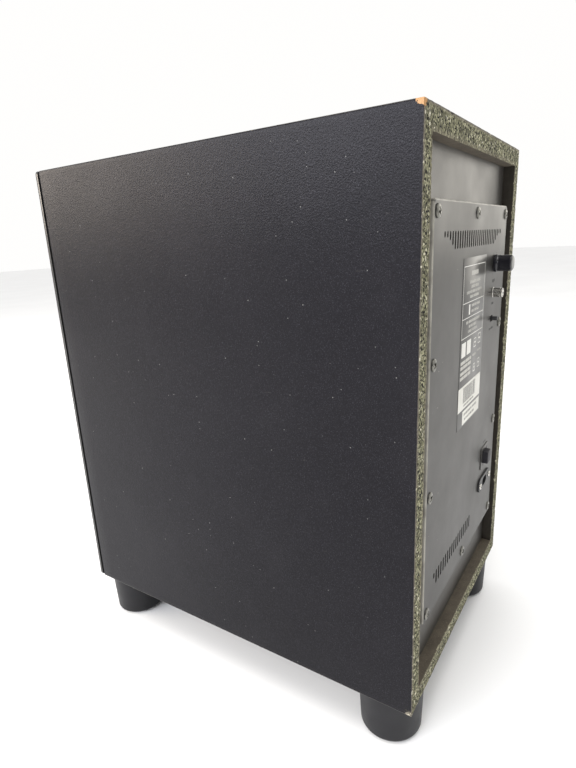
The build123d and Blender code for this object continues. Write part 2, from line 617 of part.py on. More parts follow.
def power_switch():
    """Latching power switch: flat bezel, body behind the plate, square button."""
    x, z = POWER_X, BOTTOM + POWER_Z
    half_x, half_z = BUTTON_SIZE[0] / 2, BUTTON_SIZE[1] / 2
    bezel = box(x - BEZEL_SIZE[0] / 2, x + BEZEL_SIZE[0] / 2, PLATE_FACE, PLATE_FACE + 0.8,
                z - BEZEL_SIZE[1] / 2, z + BEZEL_SIZE[1] / 2)
    bezel = chamfer(bezel.faces().sort_by(Axis.Y)[-1].edges(), 0.4)
    body = box(x - 9.5, x + 9.5, PLATE_BACK - 20, PLATE_FACE, z - 8, z + 8)
    well = box(x - half_x - 0.4, x + half_x + 0.4, PLATE_BACK - 9 - BUTTON_TRAVEL, PLATE_FACE + 2,
               z - half_z - 0.4, z + half_z + 0.4)
    button = box(x - half_x, x + half_x, PLATE_BACK - 8, PLATE_FACE + BUTTON_PROUD, z - half_z, z + half_z)
    button = fillet(button.faces().sort_by(Axis.Y)[-1].edges(), 0.8)
    return {"power_switch_bezel": bezel - well, "power_switch_body": body - well, "power_button": button}


def mains_inlet():
    """Figure-8 inlet: flanged body with a lobed socket, two pins and two ear screws."""
    x, z = INLET_X, BOTTOM + INLET_Z
    width, height = INLET_SOCKET
    flange = Pos(x, z) * SlotOverall(INLET_FLANGE[0], INLET_FLANGE[1])
    body = slab_y(flange, PLATE_FACE, PLATE_FACE + 1.6)
    body += box(x - 10, x + 10, PLATE_BACK - 14, PLATE_FACE + 1, z - 6, z + 6)
    lobes = Pos(x, z) * SlotOverall(width, height)
    body -= slab_y(lobes, PLATE_FACE + 1.6 - INLET_DEPTH, PLATE_FACE + 3)
    pins, screws = [], []
    for way in (-1, 1):
        pin_x = x + way * INLET_PIN_SPACING / 2
        body -= rod_y(pin_x, z, INLET_PIN_RADIUS + 0.02, PLATE_BACK - 20, PLATE_FACE)
        pins.append(rod_y(pin_x, z, INLET_PIN_RADIUS, PLATE_BACK - 18, PLATE_FACE - 0.5))
        screw_x = x + way * INLET_SCREW_X
        body -= rod_y(screw_x, z, 1.3, PLATE_BACK, PLATE_FACE + 3)
        screws.append(cross_screw_y(screw_x, z, PLATE_FACE + 1.6, 8, head=2.9, shank=1.2))
    return {"mains_inlet_body": body, "mains_inlet_pins": group(pins), "mains_inlet_screws": group(screws)}


# ---------------------------------------------------------------- electronics behind the plate

BOARD_Y = PLATE_BACK - 32
BOARD_X = (-42.0, 78.0)
BOARD_Z = (BOTTOM + 168, BOTTOM + 312)
GROMMET = (30.0, COVER_BACK, BOTTOM + 190)


def standoff_places():
    """Corners of the main board."""
    return [(x, z) for x in (BOARD_X[0] + 6, BOARD_X[1] - 6) for z in (BOARD_Z[0] + 6, BOARD_Z[1] - 6)]


def main_board():
    """The amplifier's circuit board."""
    board = box(BOARD_X[0], BOARD_X[1], BOARD_Y - 1.6, BOARD_Y, BOARD_Z[0], BOARD_Z[1])
    for x, z in standoff_places():
        board -= rod_y(x, z, 1.6, BOARD_Y - 3, BOARD_Y + 1)
    return board


def standoffs():
    """Four pillars between plate and board."""
    return group([rod_y(x, z, 3.5, BOARD_Y, PLATE_BACK) for x, z in standoff_places()])


def capacitors():
    """Two reservoir cans and three small ones on the board."""
    cans = [(-20, BOTTOM + 200, 12.5, 28), (10, BOTTOM + 200, 12.5, 28), (55, BOTTOM + 190, 5, 14),
            (55, BOTTOM + 206, 5, 14), (55, BOTTOM + 222, 5, 14)]
    return group([rod_y(x, z, radius, BOARD_Y, BOARD_Y + length) for x, z, radius, length in cans])


def heatsink():
    """Finned aluminium bar behind the top vents."""
    x0, x1, z0, z1 = -40.0, 76.0, BOTTOM + 318, BOTTOM + 350
    bar = box(x0, x1, BOARD_Y, BOARD_Y + 4, z0, z1)
    count = 12
    for i in range(count):
        x = x0 + 3 + (x1 - x0 - 6) * i / (count - 1)
        bar += box(x - 0.8, x + 0.8, BOARD_Y + 4, PLATE_BACK - 4, z0, z1)
    return bar


def transistors():
    """Four power transistors against the heatsink's back, legs down to the board."""
    parts = []
    for x in (-26, 2, 38, 62):
        body = box(x - 8, x + 8, BOARD_Y - 4.8, BOARD_Y - 0.1, BOTTOM + 321, BOTTOM + 341)
        for leg in (-5.4, 0, 5.4):
            body += box(x + leg - 0.6, x + leg + 0.6, BOARD_Y - 3.4, BOARD_Y - 2.4,
                        BOTTOM + 308, BOTTOM + 321.5)
        parts.append(body)
    return group(parts)


def transformer():
    """Mains transformer: laminated core with its winding, on a bent bracket behind the plate."""
    x, y0, z = 30.0, PLATE_BACK - 60, BOTTOM + 118
    core = box(x - 38, x + 38, y0, y0 + 34, z - 32, z + 32)
    window = box(x - 25, x - 12, y0 - 1, y0 + 35, z - 19, z + 19)
    core = core - window - Pos(37, 0, 0) * window
    winding = box(x - 24.5, x + 24.5, y0 - 7, y0 + 41, z - 18.5, z + 18.5)
    winding -= box(x - 12, x + 12, y0, y0 + 34, z - 19, z + 19)
    bracket = box(x - 38, x + 38, PLATE_BACK - 1.5, PLATE_BACK, z - 42, z + 42)
    bracket -= box(x - 24, x + 24, PLATE_BACK - 3, PLATE_BACK + 1, z - 40, z + 40)
    for way in (-1, 1):
        low, high = sorted((z + way * 32, z + way * 33.5))
        bracket += box(x - 38, x + 38, y0, PLATE_BACK - 1, low, high)
    return {"transformer_core": core, "transformer_winding": winding, "transformer_bracket": bracket}


def lead_route(x_offset):
    """The speaker lead's way from the board, out of the cover's grommet and down to the terminals."""
    x, y, z = GROMMET
    x += x_offset
    terminal_x = 7 * (1 if x_offset > 0 else -1)
    woofer_y, woofer_z = BAFFLE_FRONT + 60, BOTTOM + WOOFER_Z - 71
    return [(x, BOARD_Y - 10, z), (x, y - 14, z), (x - 4, y - 42, z - 14), (x - 10, y - 72, z - 34),
            (x - 16, woofer_y + 62, z - 44), (terminal_x + 5, woofer_y + 34, woofer_z - 18),
            (terminal_x, woofer_y + 12, woofer_z), (terminal_x, woofer_y, woofer_z)]


def lead(x_offset):
    """One insulated core of the speaker lead, on arcs as large as its runs allow."""
    points = [Vector(*p) for p in lead_route(x_offset)]
    radii = []
    for before, at, after in zip(points, points[1:], points[2:]):
        turn = math.radians((at - before).get_angle(after - at))
        shorter = min((at - before).length, (after - at).length)
        radii.append(0.45 * shorter / math.tan(turn / 2))
    path = FilletPolyline(*points, radius=radii)
    core = sweep(Plane(origin=path @ 0, z_dir=path % 0) * Circle(1.2), path=path)
    error = core.volume / (math.pi * 1.2 ** 2 * path.length) - 1
    print(f"lead {x_offset:+.1f}: length {path.length:.0f}, radii {[round(r) for r in radii]}, "
          f"volume {error:+.2%}")
    return core


def speaker_connectors():
    """Socket on the board and a push-on tag receptacle at each end of the lead."""
    x, y, z = GROMMET
    socket = box(x - 6, x + 6, BOARD_Y - 9.8, BOARD_Y - 1.6, z - 4, z + 4)
    tags = []
    for way in (-1, 1):
        tag_x, tag_z = way * 7, BOTTOM + WOOFER_Z - 71
        tags.append(box(tag_x - 3.4, tag_x + 3.4, BAFFLE_FRONT + 52, BAFFLE_FRONT + 59.8,
                        tag_z - 1.5, tag_z + 1.5)
                    - box(tag_x - 2.45, tag_x + 2.45, BAFFLE_FRONT + 51, BAFFLE_FRONT + 58.7, tag_z - 0.5,
                          tag_z + 0.5))
    return group([socket] + tags)


def cable_grommet():
    """Rubber grommet in the cover's hole, with two holes for the lead."""
    x, y, z = GROMMET
    ring = rod_y(x, z, 9.0, y - 2, y) + rod_y(x, z, 7.0, y - 1, y + 2)
    for offset in (-1.5, 1.5):
        ring -= rod_y(x + offset, z, 1.25, y - 5, y + 5)
    return ring


def main():
    """Write every piece as its own file."""
    pieces = {
        "top_panel": mitred_board("top"),
        "bottom_panel": bottom_panel(),
        "side_panel_left": mitred_board("left"),
        "side_panel_right": mitred_board("right"),
        "vinyl_wrap": vinyl_wrap(),
        "rear_panel": rear_panel(),
        "front_baffle": front_baffle(),
        "battens": battens(),
        "damping_wadding": damping_wadding(),
        "foot_pads": foot_pads(),
        "wood_screws": group(foot_screws() + woofer_screws()),
        "feet": group([foot(x, y) for x, y in FOOT_PLACES]),
        "grille_frame": grille_frame(),
        "grille_cloth": grille_cloth(),
        "grille_cups": grille_cups(),
        "port_tube": port_tube(),
        "woofer_basket": woofer_basket(),
        "woofer_gasket": woofer_gasket(),
        "woofer_cone": woofer_cone(),
        "dust_cap": dust_cap(),
        "surround": surround(),
        "spider": spider(),
        "terminal_strip": terminal_strip(),
        "tinsel_leads": tinsel_leads(),
        "amp_plate": amp_plate(),
        "amp_gasket": amp_gasket(),
        "amp_back_cover": amp_back_cover(),
        "amp_plate_screws": amp_plate_screws(),
        "plate_labels": plate_labels(),
        "level_knob": level_knob(),
        "level_shaft": level_shaft(),
        "level_pot": level_pot(),
        "main_board": main_board(),
        "standoffs": standoffs(),
        "capacitors": capacitors(),
        "heatsink": heatsink(),
        "transistors": transistors(),
        "speaker_lead_red": lead(1.5),
        "speaker_lead_black": lead(-1.5),
        "speaker_connectors": speaker_connectors(),
        "cable_grommet": cable_grommet(),
    }
    for several in (magnet_pieces(), coil_pieces(), input_jack(), slide_switch(), power_switch(),
                    mains_inlet(), transformer()):
        pieces.update(several)
    os.makedirs("parts", exist_ok=True)
    for name, piece in pieces.items():
        export_step(piece, f"parts/{name}.step")
    print(len(pieces), "pieces")


main()
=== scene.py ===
"""Looks of the free-standing powered subwoofer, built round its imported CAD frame. Metres."""

import json
import math
import random

import bmesh
import bpy
from mathutils import Matrix, Vector, noise

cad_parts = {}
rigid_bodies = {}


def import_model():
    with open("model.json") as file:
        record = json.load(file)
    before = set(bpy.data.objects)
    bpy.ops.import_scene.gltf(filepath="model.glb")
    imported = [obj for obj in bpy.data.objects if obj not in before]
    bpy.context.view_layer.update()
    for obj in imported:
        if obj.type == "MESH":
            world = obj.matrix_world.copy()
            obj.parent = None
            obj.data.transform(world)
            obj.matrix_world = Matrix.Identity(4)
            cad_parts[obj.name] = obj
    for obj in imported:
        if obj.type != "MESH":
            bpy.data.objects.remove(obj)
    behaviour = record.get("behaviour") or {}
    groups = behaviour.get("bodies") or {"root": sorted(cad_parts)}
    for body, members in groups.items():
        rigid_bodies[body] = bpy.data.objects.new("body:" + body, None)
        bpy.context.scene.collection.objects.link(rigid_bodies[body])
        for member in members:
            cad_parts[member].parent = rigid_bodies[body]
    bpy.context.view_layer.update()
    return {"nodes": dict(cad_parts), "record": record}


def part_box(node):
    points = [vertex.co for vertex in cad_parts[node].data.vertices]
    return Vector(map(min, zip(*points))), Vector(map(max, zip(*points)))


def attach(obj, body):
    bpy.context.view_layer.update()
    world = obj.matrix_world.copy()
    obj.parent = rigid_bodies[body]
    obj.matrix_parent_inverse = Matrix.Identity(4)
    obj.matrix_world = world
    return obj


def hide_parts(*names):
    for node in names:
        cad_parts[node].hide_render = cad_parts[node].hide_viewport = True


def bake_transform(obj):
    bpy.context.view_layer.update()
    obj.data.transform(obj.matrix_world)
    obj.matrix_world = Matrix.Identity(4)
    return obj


for leftover in list(bpy.data.objects):
    bpy.data.objects.remove(leftover)
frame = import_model()
NODES = frame["nodes"]
SLOTS = {part["node"]: part["material_slot"] for part in frame["record"]["subparts"]}

MM = 0.001
CABINET = "cabinet"

# Places read from the frame
WRAP_LOW, WRAP_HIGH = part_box("vinyl_wrap")
PLATE_LOW, PLATE_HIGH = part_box("amp_plate")
RECESS_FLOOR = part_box("rear_panel")[1].y
BAFFLE_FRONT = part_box("front_baffle")[0].y
GRILLE_LOW, GRILLE_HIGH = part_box("grille_cloth")
LABEL_LOW, LABEL_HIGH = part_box("plate_labels")
HALF_WIDTH = WRAP_HIGH.x
REAR = WRAP_HIGH.y
BOARD_FRONT = WRAP_LOW.y
BOTTOM, TOP = WRAP_LOW.z, WRAP_HIGH.z
FACE = PLATE_HIGH.y
WALL = HALF_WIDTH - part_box("rear_panel")[1].x
FILM = 0.35 * MM


def centre(node):
    """Middle of a CAD node's box."""
    low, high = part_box(node)
    return (low + high) / 2


WOOFER = centre("woofer_basket")
PORT = centre("port_tube")
KNOB = centre("level_knob")
JACK = centre("input_jack_shell")
LEVER = centre("phase_switch_lever")
BUTTON = centre("power_button")
BEZEL = centre("power_switch_bezel")
INLET = centre("mains_inlet_body")


# ---------------------------------------------------------------- camera and light

def place_camera():
    """The camera that took in the cabinet's back corner, slightly rolled."""
    azimuth, elevation, roll = math.radians(124.046), math.radians(15.777), math.radians(2.861)
    back = Vector((math.sin(azimuth) * math.cos(elevation), -math.cos(azimuth) * math.cos(elevation),
                   math.sin(elevation)))
    level = (-back).cross(Vector((0, 0, 1))).normalized()
    down = (-back).cross(level)
    right = math.cos(roll) * level + math.sin(roll) * down
    up = math.sin(roll) * level - math.cos(roll) * down
    data = bpy.data.cameras.new("camera")
    data.sensor_width = 36.0
    data.lens = 24.6
    data.shift_x, data.shift_y = 0.0028, 0.0059
    data.clip_start, data.clip_end = 0.01, 50.0
    camera = bpy.data.objects.new("camera", data)
    bpy.context.scene.collection.objects.link(camera)
    turn = Matrix((right, up, back)).transposed().to_4x4()
    camera.matrix_world = Matrix.Translation((0.43505, 0.27985, 0.39305)) @ turn
    bpy.context.scene.camera = camera


def softbox(name, at, target, size, power, tint):
    """A rectangular area light that faces a target."""
    data = bpy.data.lights.new(name, "AREA")
    data.shape = "RECTANGLE"
    data.size, data.size_y = size
    data.energy = power
    data.color = tint
    light = bpy.data.objects.new(name, data)
    bpy.context.scene.collection.objects.link(light)
    light.location = at
    light.rotation_euler = (Vector(target) - Vector(at)).to_track_quat("-Z", "Y").to_euler()
    light.visible_camera = False


def place_room():
    """A white room, with a dark flag that only reflections see on the side that the side panel mirrors."""
    world = bpy.data.worlds.new("studio")
    world.use_nodes = True
    tree = world.node_tree
    background = tree.nodes["Background"]
    background.inputs["Strength"].default_value = 1.0
    way = tree.nodes.new("ShaderNodeSeparateXYZ")
    tree.links.new(tree.nodes.new("ShaderNodeTexCoord").outputs["Generated"], way.inputs[0])

    def ease(value, start, end, to_start, to_end):
        made = tree.nodes.new("ShaderNodeMapRange")
        made.interpolation_type = "SMOOTHSTEP"
        tree.links.new(value, made.inputs["Value"])
        made.inputs["From Min"].default_value, made.inputs["From Max"].default_value = start, end
        made.inputs["To Min"].default_value, made.inputs["To Max"].default_value = to_start, to_end
        return made.outputs[0]

    toward = ease(way.outputs["X"], 0.0, 0.45, 0.0, 1.0)
    level = ease(way.outputs["Z"], 0.12, 0.62, 1.0, 0.0)
    dark = tree.nodes.new("ShaderNodeMath")
    dark.operation = "MULTIPLY"
    tree.links.new(toward, dark.inputs[0])
    tree.links.new(level, dark.inputs[1])
    hidden = tree.nodes.new("ShaderNodeMath")
    hidden.operation = "SUBTRACT"
    hidden.use_clamp = True
    tree.links.new(dark.outputs[0], hidden.inputs[0])
    tree.links.new(tree.nodes.new("ShaderNodeLightPath").outputs["Is Camera Ray"], hidden.inputs[1])
    mixed = tree.nodes.new("ShaderNodeMix")
    mixed.data_type = "RGBA"
    tree.links.new(hidden.outputs[0], mixed.inputs[0])
    mixed.inputs[6].default_value = (1.0, 0.995, 0.985, 1)
    mixed.inputs[7].default_value = (0.12, 0.12, 0.135, 1)
    tree.links.new(mixed.outputs[2], background.inputs["Color"])
    bpy.context.scene.world = world


def place_lights():
    """Soft studio light: overhead, and boxes towards the front, the side and the back."""
    place_room()
    softbox("overhead_box", (0.3, 0.1, 2.4), (0, 0, 0.2), (1.6, 1.6), 30, (1.0, 0.98, 0.95))
    softbox("front_box", (1.5, -2.2, 1.0), (0.1, 0, 0.45), (1.3, 0.9), 37, (1.0, 0.89, 0.76))
    softbox("side_box", (2.3, -0.7, 1.15), (0.13, 0, 0.45), (2.2, 0.8), 64, (0.93, 0.95, 1.0))
    softbox("back_box", (-2.4, 0.95, 0.75), (0, 0.17, 0.4), (1.2, 0.9), 6.5, (1.0, 0.95, 0.84))
    bpy.context.scene.view_settings.view_transform = "Standard"


def place_floor():
    """A wide pale floor."""
    mesh = bpy.data.meshes.new("floor")
    half = 12.0
    mesh.from_pydata([(-half, -half, 0), (half, -half, 0), (half, half, 0), (-half, half, 0)], [], [(0, 1, 2, 3)])
    floor = bpy.data.objects.new("floor", mesh)
    bpy.context.scene.collection.objects.link(floor)
    paint = Paint("floor_paper")
    paint.set("Base Color", paint.ramp(paint.noise(3, 2), [(0.3, (0.91, 0.91, 0.91)), (0.7, (0.94, 0.94, 0.94))]))
    paint.set("Roughness", 0.9)
    paint.set("Specular IOR Level", 0.1)
    mesh.materials.append(paint.material)


# ---------------------------------------------------------------- materials

class Paint:
    """A node material with short calls for its patterns. Patterns run in the row frame's metres."""

    def __init__(self, name):
        self.material = bpy.data.materials.new(name)
        self.material.use_nodes = True
        self.tree = self.material.node_tree
        self.shader = self.tree.nodes["Principled BSDF"]
        self.place = self.tree.nodes.new("ShaderNodeTexCoord").outputs["Object"]

    def node(self, kind, inputs=(), **settings):
        made = self.tree.nodes.new(kind)
        for key, value in settings.items():
            setattr(made, key, value)
        for key, value in dict(inputs).items():
            self.feed(made.inputs[key], value)
        return made

    def feed(self, socket, value):
        if isinstance(value, bpy.types.NodeSocket):
            self.tree.links.new(value, socket)
        elif socket.type == "RGBA":
            socket.default_value = (*value[:3], 1)
        else:
            socket.default_value = value

    def set(self, socket, value):
        self.feed(self.shader.inputs[socket], value)

    def stretched(self, scale):
        return self.node("ShaderNodeMapping", {"Vector": self.place, "Scale": scale}).outputs["Vector"]

    def noise(self, scale, detail=3, rough=0.5, at=None):
        made = self.node("ShaderNodeTexNoise", {"Vector": at or self.place, "Scale": scale, "Detail": detail,
                                               "Roughness": rough})
        return made.outputs["Fac"]

    def cells(self, scale, output="Color", feature="F1", at=None, randomness=1.0):
        made = self.node("ShaderNodeTexVoronoi", {"Vector": at or self.place, "Scale": scale,
                                                  "Randomness": randomness}, feature=feature)
        return made.outputs[output]

    def ramp(self, factor, stops, interpolation="LINEAR"):
        made = self.node("ShaderNodeValToRGB", {"Fac": factor})
        made.color_ramp.interpolation = interpolation
        points = made.color_ramp.elements
        while len(points) < len(stops):
            points.new(0.5)
        for point, (at, value) in zip(points, stops):
            point.position = at
            point.color = (*value, 1) if hasattr(value, "__len__") else (value, value, value, 1)
        return made.outputs["Color"]

    def maths(self, operation, a, b=0.0, clamp=False):
        made = self.tree.nodes.new("ShaderNodeMath")
        made.operation, made.use_clamp = operation, clamp
        self.feed(made.inputs[0], a)
        self.feed(made.inputs[1], b)
        return made.outputs[0]

    def mix(self, factor, a, b):
        made = self.node("ShaderNodeMix", data_type="RGBA")
        self.feed(made.inputs[0], factor)
        self.feed(made.inputs[6], a)
        self.feed(made.inputs[7], b)
        return made.outputs[2]

    def axis(self, name):
        return self.node("ShaderNodeSeparateXYZ", {"Vector": self.place}).outputs[name]

    def near(self, point, radius, ragged=0.0, scale=400):
        """1 close to a point, 0 beyond the radius, with a ragged border."""
        away = self.node("ShaderNodeVectorMath", {0: self.place, 1: point}, operation="DISTANCE").outputs["Value"]
        if ragged:
            wobble = self.maths("MULTIPLY", self.maths("SUBTRACT", self.noise(scale, 3), 0.5), ragged)
            away = self.maths("ADD", away, wobble)
        return self.maths("LESS_THAN", away, radius)

    def bump(self, height, distance, strength=1.0, normal=None):
        inputs = {"Height": height, "Distance": distance, "Strength": strength}
        made = self.node("ShaderNodeBump", inputs)
        if normal is not None:
            self.feed(made.inputs["Normal"], normal)
        return made.outputs["Normal"]


def simple(name, dark, light, rough, scale=60.0, metal=0.0, grain=0.0, grain_scale=900.0, level=0.5, coat=0.0):
    """A material whose colour and roughness wander between two values, with a fine grain."""
    paint = Paint(name)
    wander = paint.noise(scale, 4, 0.6)
    paint.set("Base Color", paint.ramp(wander, [(0.3, dark), (0.7, light)]))
    paint.set("Roughness", paint.ramp(paint.noise(scale * 2.3, 3), [(0.3, rough[0]), (0.7, rough[1])]))
    paint.set("Metallic", metal)
    paint.set("Specular IOR Level", level)
    if coat:
        paint.set("Coat Weight", coat)
        paint.set("Coat Roughness", 0.06)
    if grain:
        paint.set("Normal", paint.bump(paint.noise(grain_scale, 2), grain))
    return paint.material


def vinyl_material():
    """Black wood-grain-free film: pebbled, with painted glints on its grain, dusty in places, worn at a corner and
    lightly scratched.
    """
    paint = Paint("black_vinyl")
    tone = paint.ramp(paint.noise(5, 3, 0.6), [(0.3, (0.0045, 0.0043, 0.0058)), (0.7, (0.0068, 0.0065, 0.0085))])
    haze = paint.ramp(paint.noise(14, 5, 0.65), [(0.5, 0.0), (0.78, 0.25)])
    tone = paint.mix(haze, tone, (0.018, 0.017, 0.02))
    grain = paint.noise(1500, 2, 0.6)
    # Painted glints: the peaks of the fine grain are lightened, as small highlights on the pebbled film.
    glint_speckle = paint.ramp(grain, [(0.56, 0.0), (0.7, 0.45)])
    tone = paint.mix(glint_speckle, tone, (0.06, 0.06, 0.072))
    cell = paint.cells(150, "Distance")
    sparse = paint.ramp(paint.cells(150, "Color"), [(0.62, 0.0), (0.78, 1.0)])
    dust = paint.maths("MULTIPLY", paint.maths("LESS_THAN", cell, 0.06), sparse)
    tone = paint.mix(dust, tone, (0.17, 0.17, 0.165))
    scratch_place = paint.stretched((1.0, 9.0, 70.0))
    scratch = paint.ramp(paint.noise(7, 2, 0.5, scratch_place), [(0.72, 0.0), (0.73, 0.35), (0.74, 0.0)])
    tone = paint.mix(scratch, tone, (0.07, 0.066, 0.062))
    rough = paint.ramp(paint.noise(9, 4, 0.6), [(0.25, 0.3), (0.75, 0.38)])
    paint.set("Roughness", rough)
    paint.set("Specular IOR Level", 0.13)
    paint.set("Specular Tint", (0.97, 0.955, 1.0))
    pebble = paint.cells(950, "Distance")
    paint.set("Normal", paint.bump(pebble, 0.00011, 0.8, paint.bump(grain, 0.00006, 0.6)))
    top_corner, low_corner = (HALF_WIDTH, REAR, TOP), (HALF_WIDTH, REAR, BOTTOM)
    worn = paint.mix(paint.near(top_corner, 4.5 * MM, 5 * MM), tone, (0.42, 0.24, 0.11))
    fibre = paint.ramp(paint.noise(900, 3, 0.7), [(0.4, (0.05, 0.045, 0.03)), (0.62, (0.55, 0.5, 0.4))])
    worn = paint.mix(paint.near(low_corner, 5 * MM, 12 * MM, 900), worn, fibre)
    paint.set("Base Color", worn)
    return paint.material


def chipboard_material():
    """Sawn edge of particle board: coarse flakes with dark pits in the core, finer and paler at both faces."""
    paint = Paint("chipboard_edge")
    from_side = paint.maths("SUBTRACT", HALF_WIDTH, paint.maths("ABSOLUTE", paint.axis("X")))
    height = paint.maths("SUBTRACT", paint.axis("Z"), (TOP + BOTTOM) / 2)
    from_end = paint.maths("SUBTRACT", (TOP - BOTTOM) / 2, paint.maths("ABSOLUTE", height))
    depth = paint.maths("DIVIDE", paint.maths("MINIMUM", from_side, from_end), WALL)
    core = paint.ramp(depth, [(0.06, 0.2), (0.18, 1.0), (0.74, 1.0), (0.93, 0.45)])
    flake = paint.ramp(paint.cells(640, "Color"),
                       [(0.0, (0.04, 0.039, 0.024)), (0.25, (0.1, 0.099, 0.059)), (0.5, (0.19, 0.187, 0.112)),
                        (0.72, (0.33, 0.325, 0.2)), (0.88, (0.53, 0.51, 0.35)), (1.0, (0.8, 0.77, 0.59))])
    fine = paint.ramp(paint.noise(900, 3, 0.7), [(0.3, (0.12, 0.105, 0.075)), (0.7, (0.34, 0.305, 0.225))])
    tone = paint.mix(core, fine, flake)
    stain = paint.ramp(paint.noise(34, 4, 0.6), [(0.35, 0.0), (0.8, 0.5)])
    tone = paint.mix(stain, tone, (0.09, 0.082, 0.06))
    pits = paint.ramp(paint.noise(520, 2, 0.6), [(0.425, 1.0), (0.47, 0.0)])
    tone = paint.mix(paint.maths("MULTIPLY", pits, core), tone, (0.005, 0.004, 0.003))
    skin = paint.ramp(depth, [(0.03, 0.75), (0.12, 0.0)])
    tone = paint.mix(skin, tone, (0.13, 0.115, 0.1))
    chips = paint.ramp(paint.noise(430, 2, 0.5, paint.stretched((1.0, 1.0, 0.6))), [(0.67, 0.0), (0.7, 0.85)])
    tone = paint.mix(chips, tone, (0.75, 0.71, 0.57))
    torn = paint.near((HALF_WIDTH, REAR, TOP), 5 * MM, 5 * MM)
    paint.set("Base Color", paint.mix(torn, tone, (0.45, 0.25, 0.11)))
    paint.set("Roughness", 0.85)
    paint.set("Specular IOR Level", 0.25)
    paint.set("Normal", paint.bump(paint.noise(620, 3, 0.75), 0.0009, 1.0))
    return paint.material


def board_face_material(name, shade):
    """Inner faces of the boards: brown-black stained particle board, smoother than its edge. A shade factor below one
    makes a darker copy, which is painted shade.
    """
    paint = Paint(name)
    dark, light = [tuple(shade * channel for channel in tone) for tone in ((0.06, 0.049, 0.036), (0.115, 0.096, 0.07))]
    tone = paint.ramp(paint.noise(70, 5, 0.7), [(0.3, dark), (0.7, light)])
    fibre = paint.ramp(paint.noise(700, 3, 0.6), [(0.55, 0.0), (0.75, 0.6)])
    paint.set("Base Color", paint.mix(fibre, tone, tuple(shade * channel for channel in (0.19, 0.165, 0.125))))
    paint.set("Roughness", 0.7)
    paint.set("Specular IOR Level", 0.35)
    paint.set("Normal", paint.bump(paint.noise(900, 3), 0.0002, 0.6))
    return paint.material


def plate_material():
    """Satin dark grey powder coat on folded steel, a little dusty, with a painted highlight along its top and side
    edges.
    """
    paint = Paint("plate_paint")
    tone = paint.ramp(paint.noise(11, 4, 0.6), [(0.3, (0.017, 0.0165, 0.0152)), (0.7, (0.026, 0.025, 0.0228))])
    dust = paint.maths("MULTIPLY", paint.maths("LESS_THAN", paint.cells(140, "Distance"), 0.05),
                       paint.ramp(paint.cells(140, "Color"), [(0.84, 0.0), (0.88, 1.0)]))
    tone = paint.mix(dust, tone, (0.4, 0.39, 0.35))
    # Painted highlight: the top and side edges are lightened where the folded rim catches the light.
    from_side = paint.maths("SUBTRACT", PLATE_HIGH.x, paint.maths("ABSOLUTE", paint.axis("X")))
    from_top = paint.maths("SUBTRACT", PLATE_HIGH.z, paint.axis("Z"))
    edge = paint.maths("DIVIDE", paint.maths("MINIMUM", from_side, from_top), 1.6 * MM)
    edge_highlight = paint.maths("MULTIPLY", paint.ramp(edge, [(0.35, 0.75), (0.95, 0.0)]),
                         paint.ramp(paint.noise(90, 3), [(0.3, 0.55), (0.6, 1.0)]))
    paint.set("Base Color", paint.mix(edge_highlight, tone, (0.5, 0.48, 0.42)))
    paint.set("Roughness", paint.ramp(paint.noise(17, 4, 0.6), [(0.3, 0.36), (0.7, 0.45)]))
    paint.set("Specular IOR Level", 0.44)
    paint.set("Specular Tint", (1.0, 0.965, 0.9))
    paint.set("Normal", paint.bump(paint.noise(1300, 2), 0.00003, 0.6))
    return paint.material


def panel_material():
    """Painted rear panel and baffle: black with a soft sheen."""
    paint = Paint("panel_paint")
    tone = paint.ramp(paint.noise(20, 4, 0.6), [(0.3, (0.036, 0.034, 0.031)), (0.7, (0.05, 0.047, 0.042))])
    paint.set("Base Color", tone)
    paint.set("Roughness", paint.ramp(paint.noise(26, 4), [(0.3, 0.36), (0.7, 0.46)]))
    paint.set("Specular Tint", (1.0, 0.965, 0.9))
    paint.set("Normal", paint.bump(paint.noise(600, 3, 0.6), 0.00006, 0.6))
    return paint.material


def knit_material():
    """Open black knit of the grille: rows of small loops."""
    paint = Paint("grille_knit")
    loops = paint.node("ShaderNodeTexWave", {"Vector": paint.place, "Scale": 260.0, "Distortion": 1.2,
                                             "Detail": 1.0}, wave_type="BANDS", bands_direction="X")
    rows = paint.node("ShaderNodeTexWave", {"Vector": paint.place, "Scale": 260.0, "Distortion": 1.2,
                                            "Detail": 1.0}, wave_type="BANDS", bands_direction="Z")
    weave = paint.maths("MULTIPLY", loops.outputs["Fac"], rows.outputs["Fac"])
    thread = paint.ramp(weave, [(0.05, (0.003, 0.003, 0.003)), (0.5, (0.024, 0.024, 0.026))])
    fuzz = paint.ramp(paint.noise(120, 4, 0.7), [(0.45, 0.0), (0.8, 0.4)])
    paint.set("Base Color", paint.mix(fuzz, thread, (0.04, 0.04, 0.042)))
    paint.set("Roughness", 0.92)
    paint.set("Specular IOR Level", 0.2)
    paint.set("Sheen Weight", 0.15)
    paint.set("Normal", paint.bump(weave, 0.0003, 0.9))
    return paint.material


def cone_material():
    """Coated black paper pulp with faint fibres."""
    paint = Paint("cone_paper")
    fibre = paint.noise(420, 5, 0.75)
    paint.set("Base Color", paint.ramp(fibre, [(0.35, (0.012, 0.012, 0.013)), (0.75, (0.035, 0.034, 0.033))]))
    paint.set("Roughness", paint.ramp(paint.noise(60, 3), [(0.3, 0.55), (0.7, 0.7)]))
    paint.set("Normal", paint.bump(fibre, 0.00018, 0.7))
    return paint.material


def label_material():
    """Glossy dark printed film."""
    return simple("label_film", (0.036, 0.035, 0.0315), (0.048, 0.0465, 0.042), (0.27, 0.33), 25, level=0.42)


def ink_material(name, tone, rough=0.6):
    """Screen-printed ink, slightly uneven."""
    low = tuple(channel * 0.86 for channel in tone)
    return simple(name, low, tone, (rough, rough + 0.1), 500)


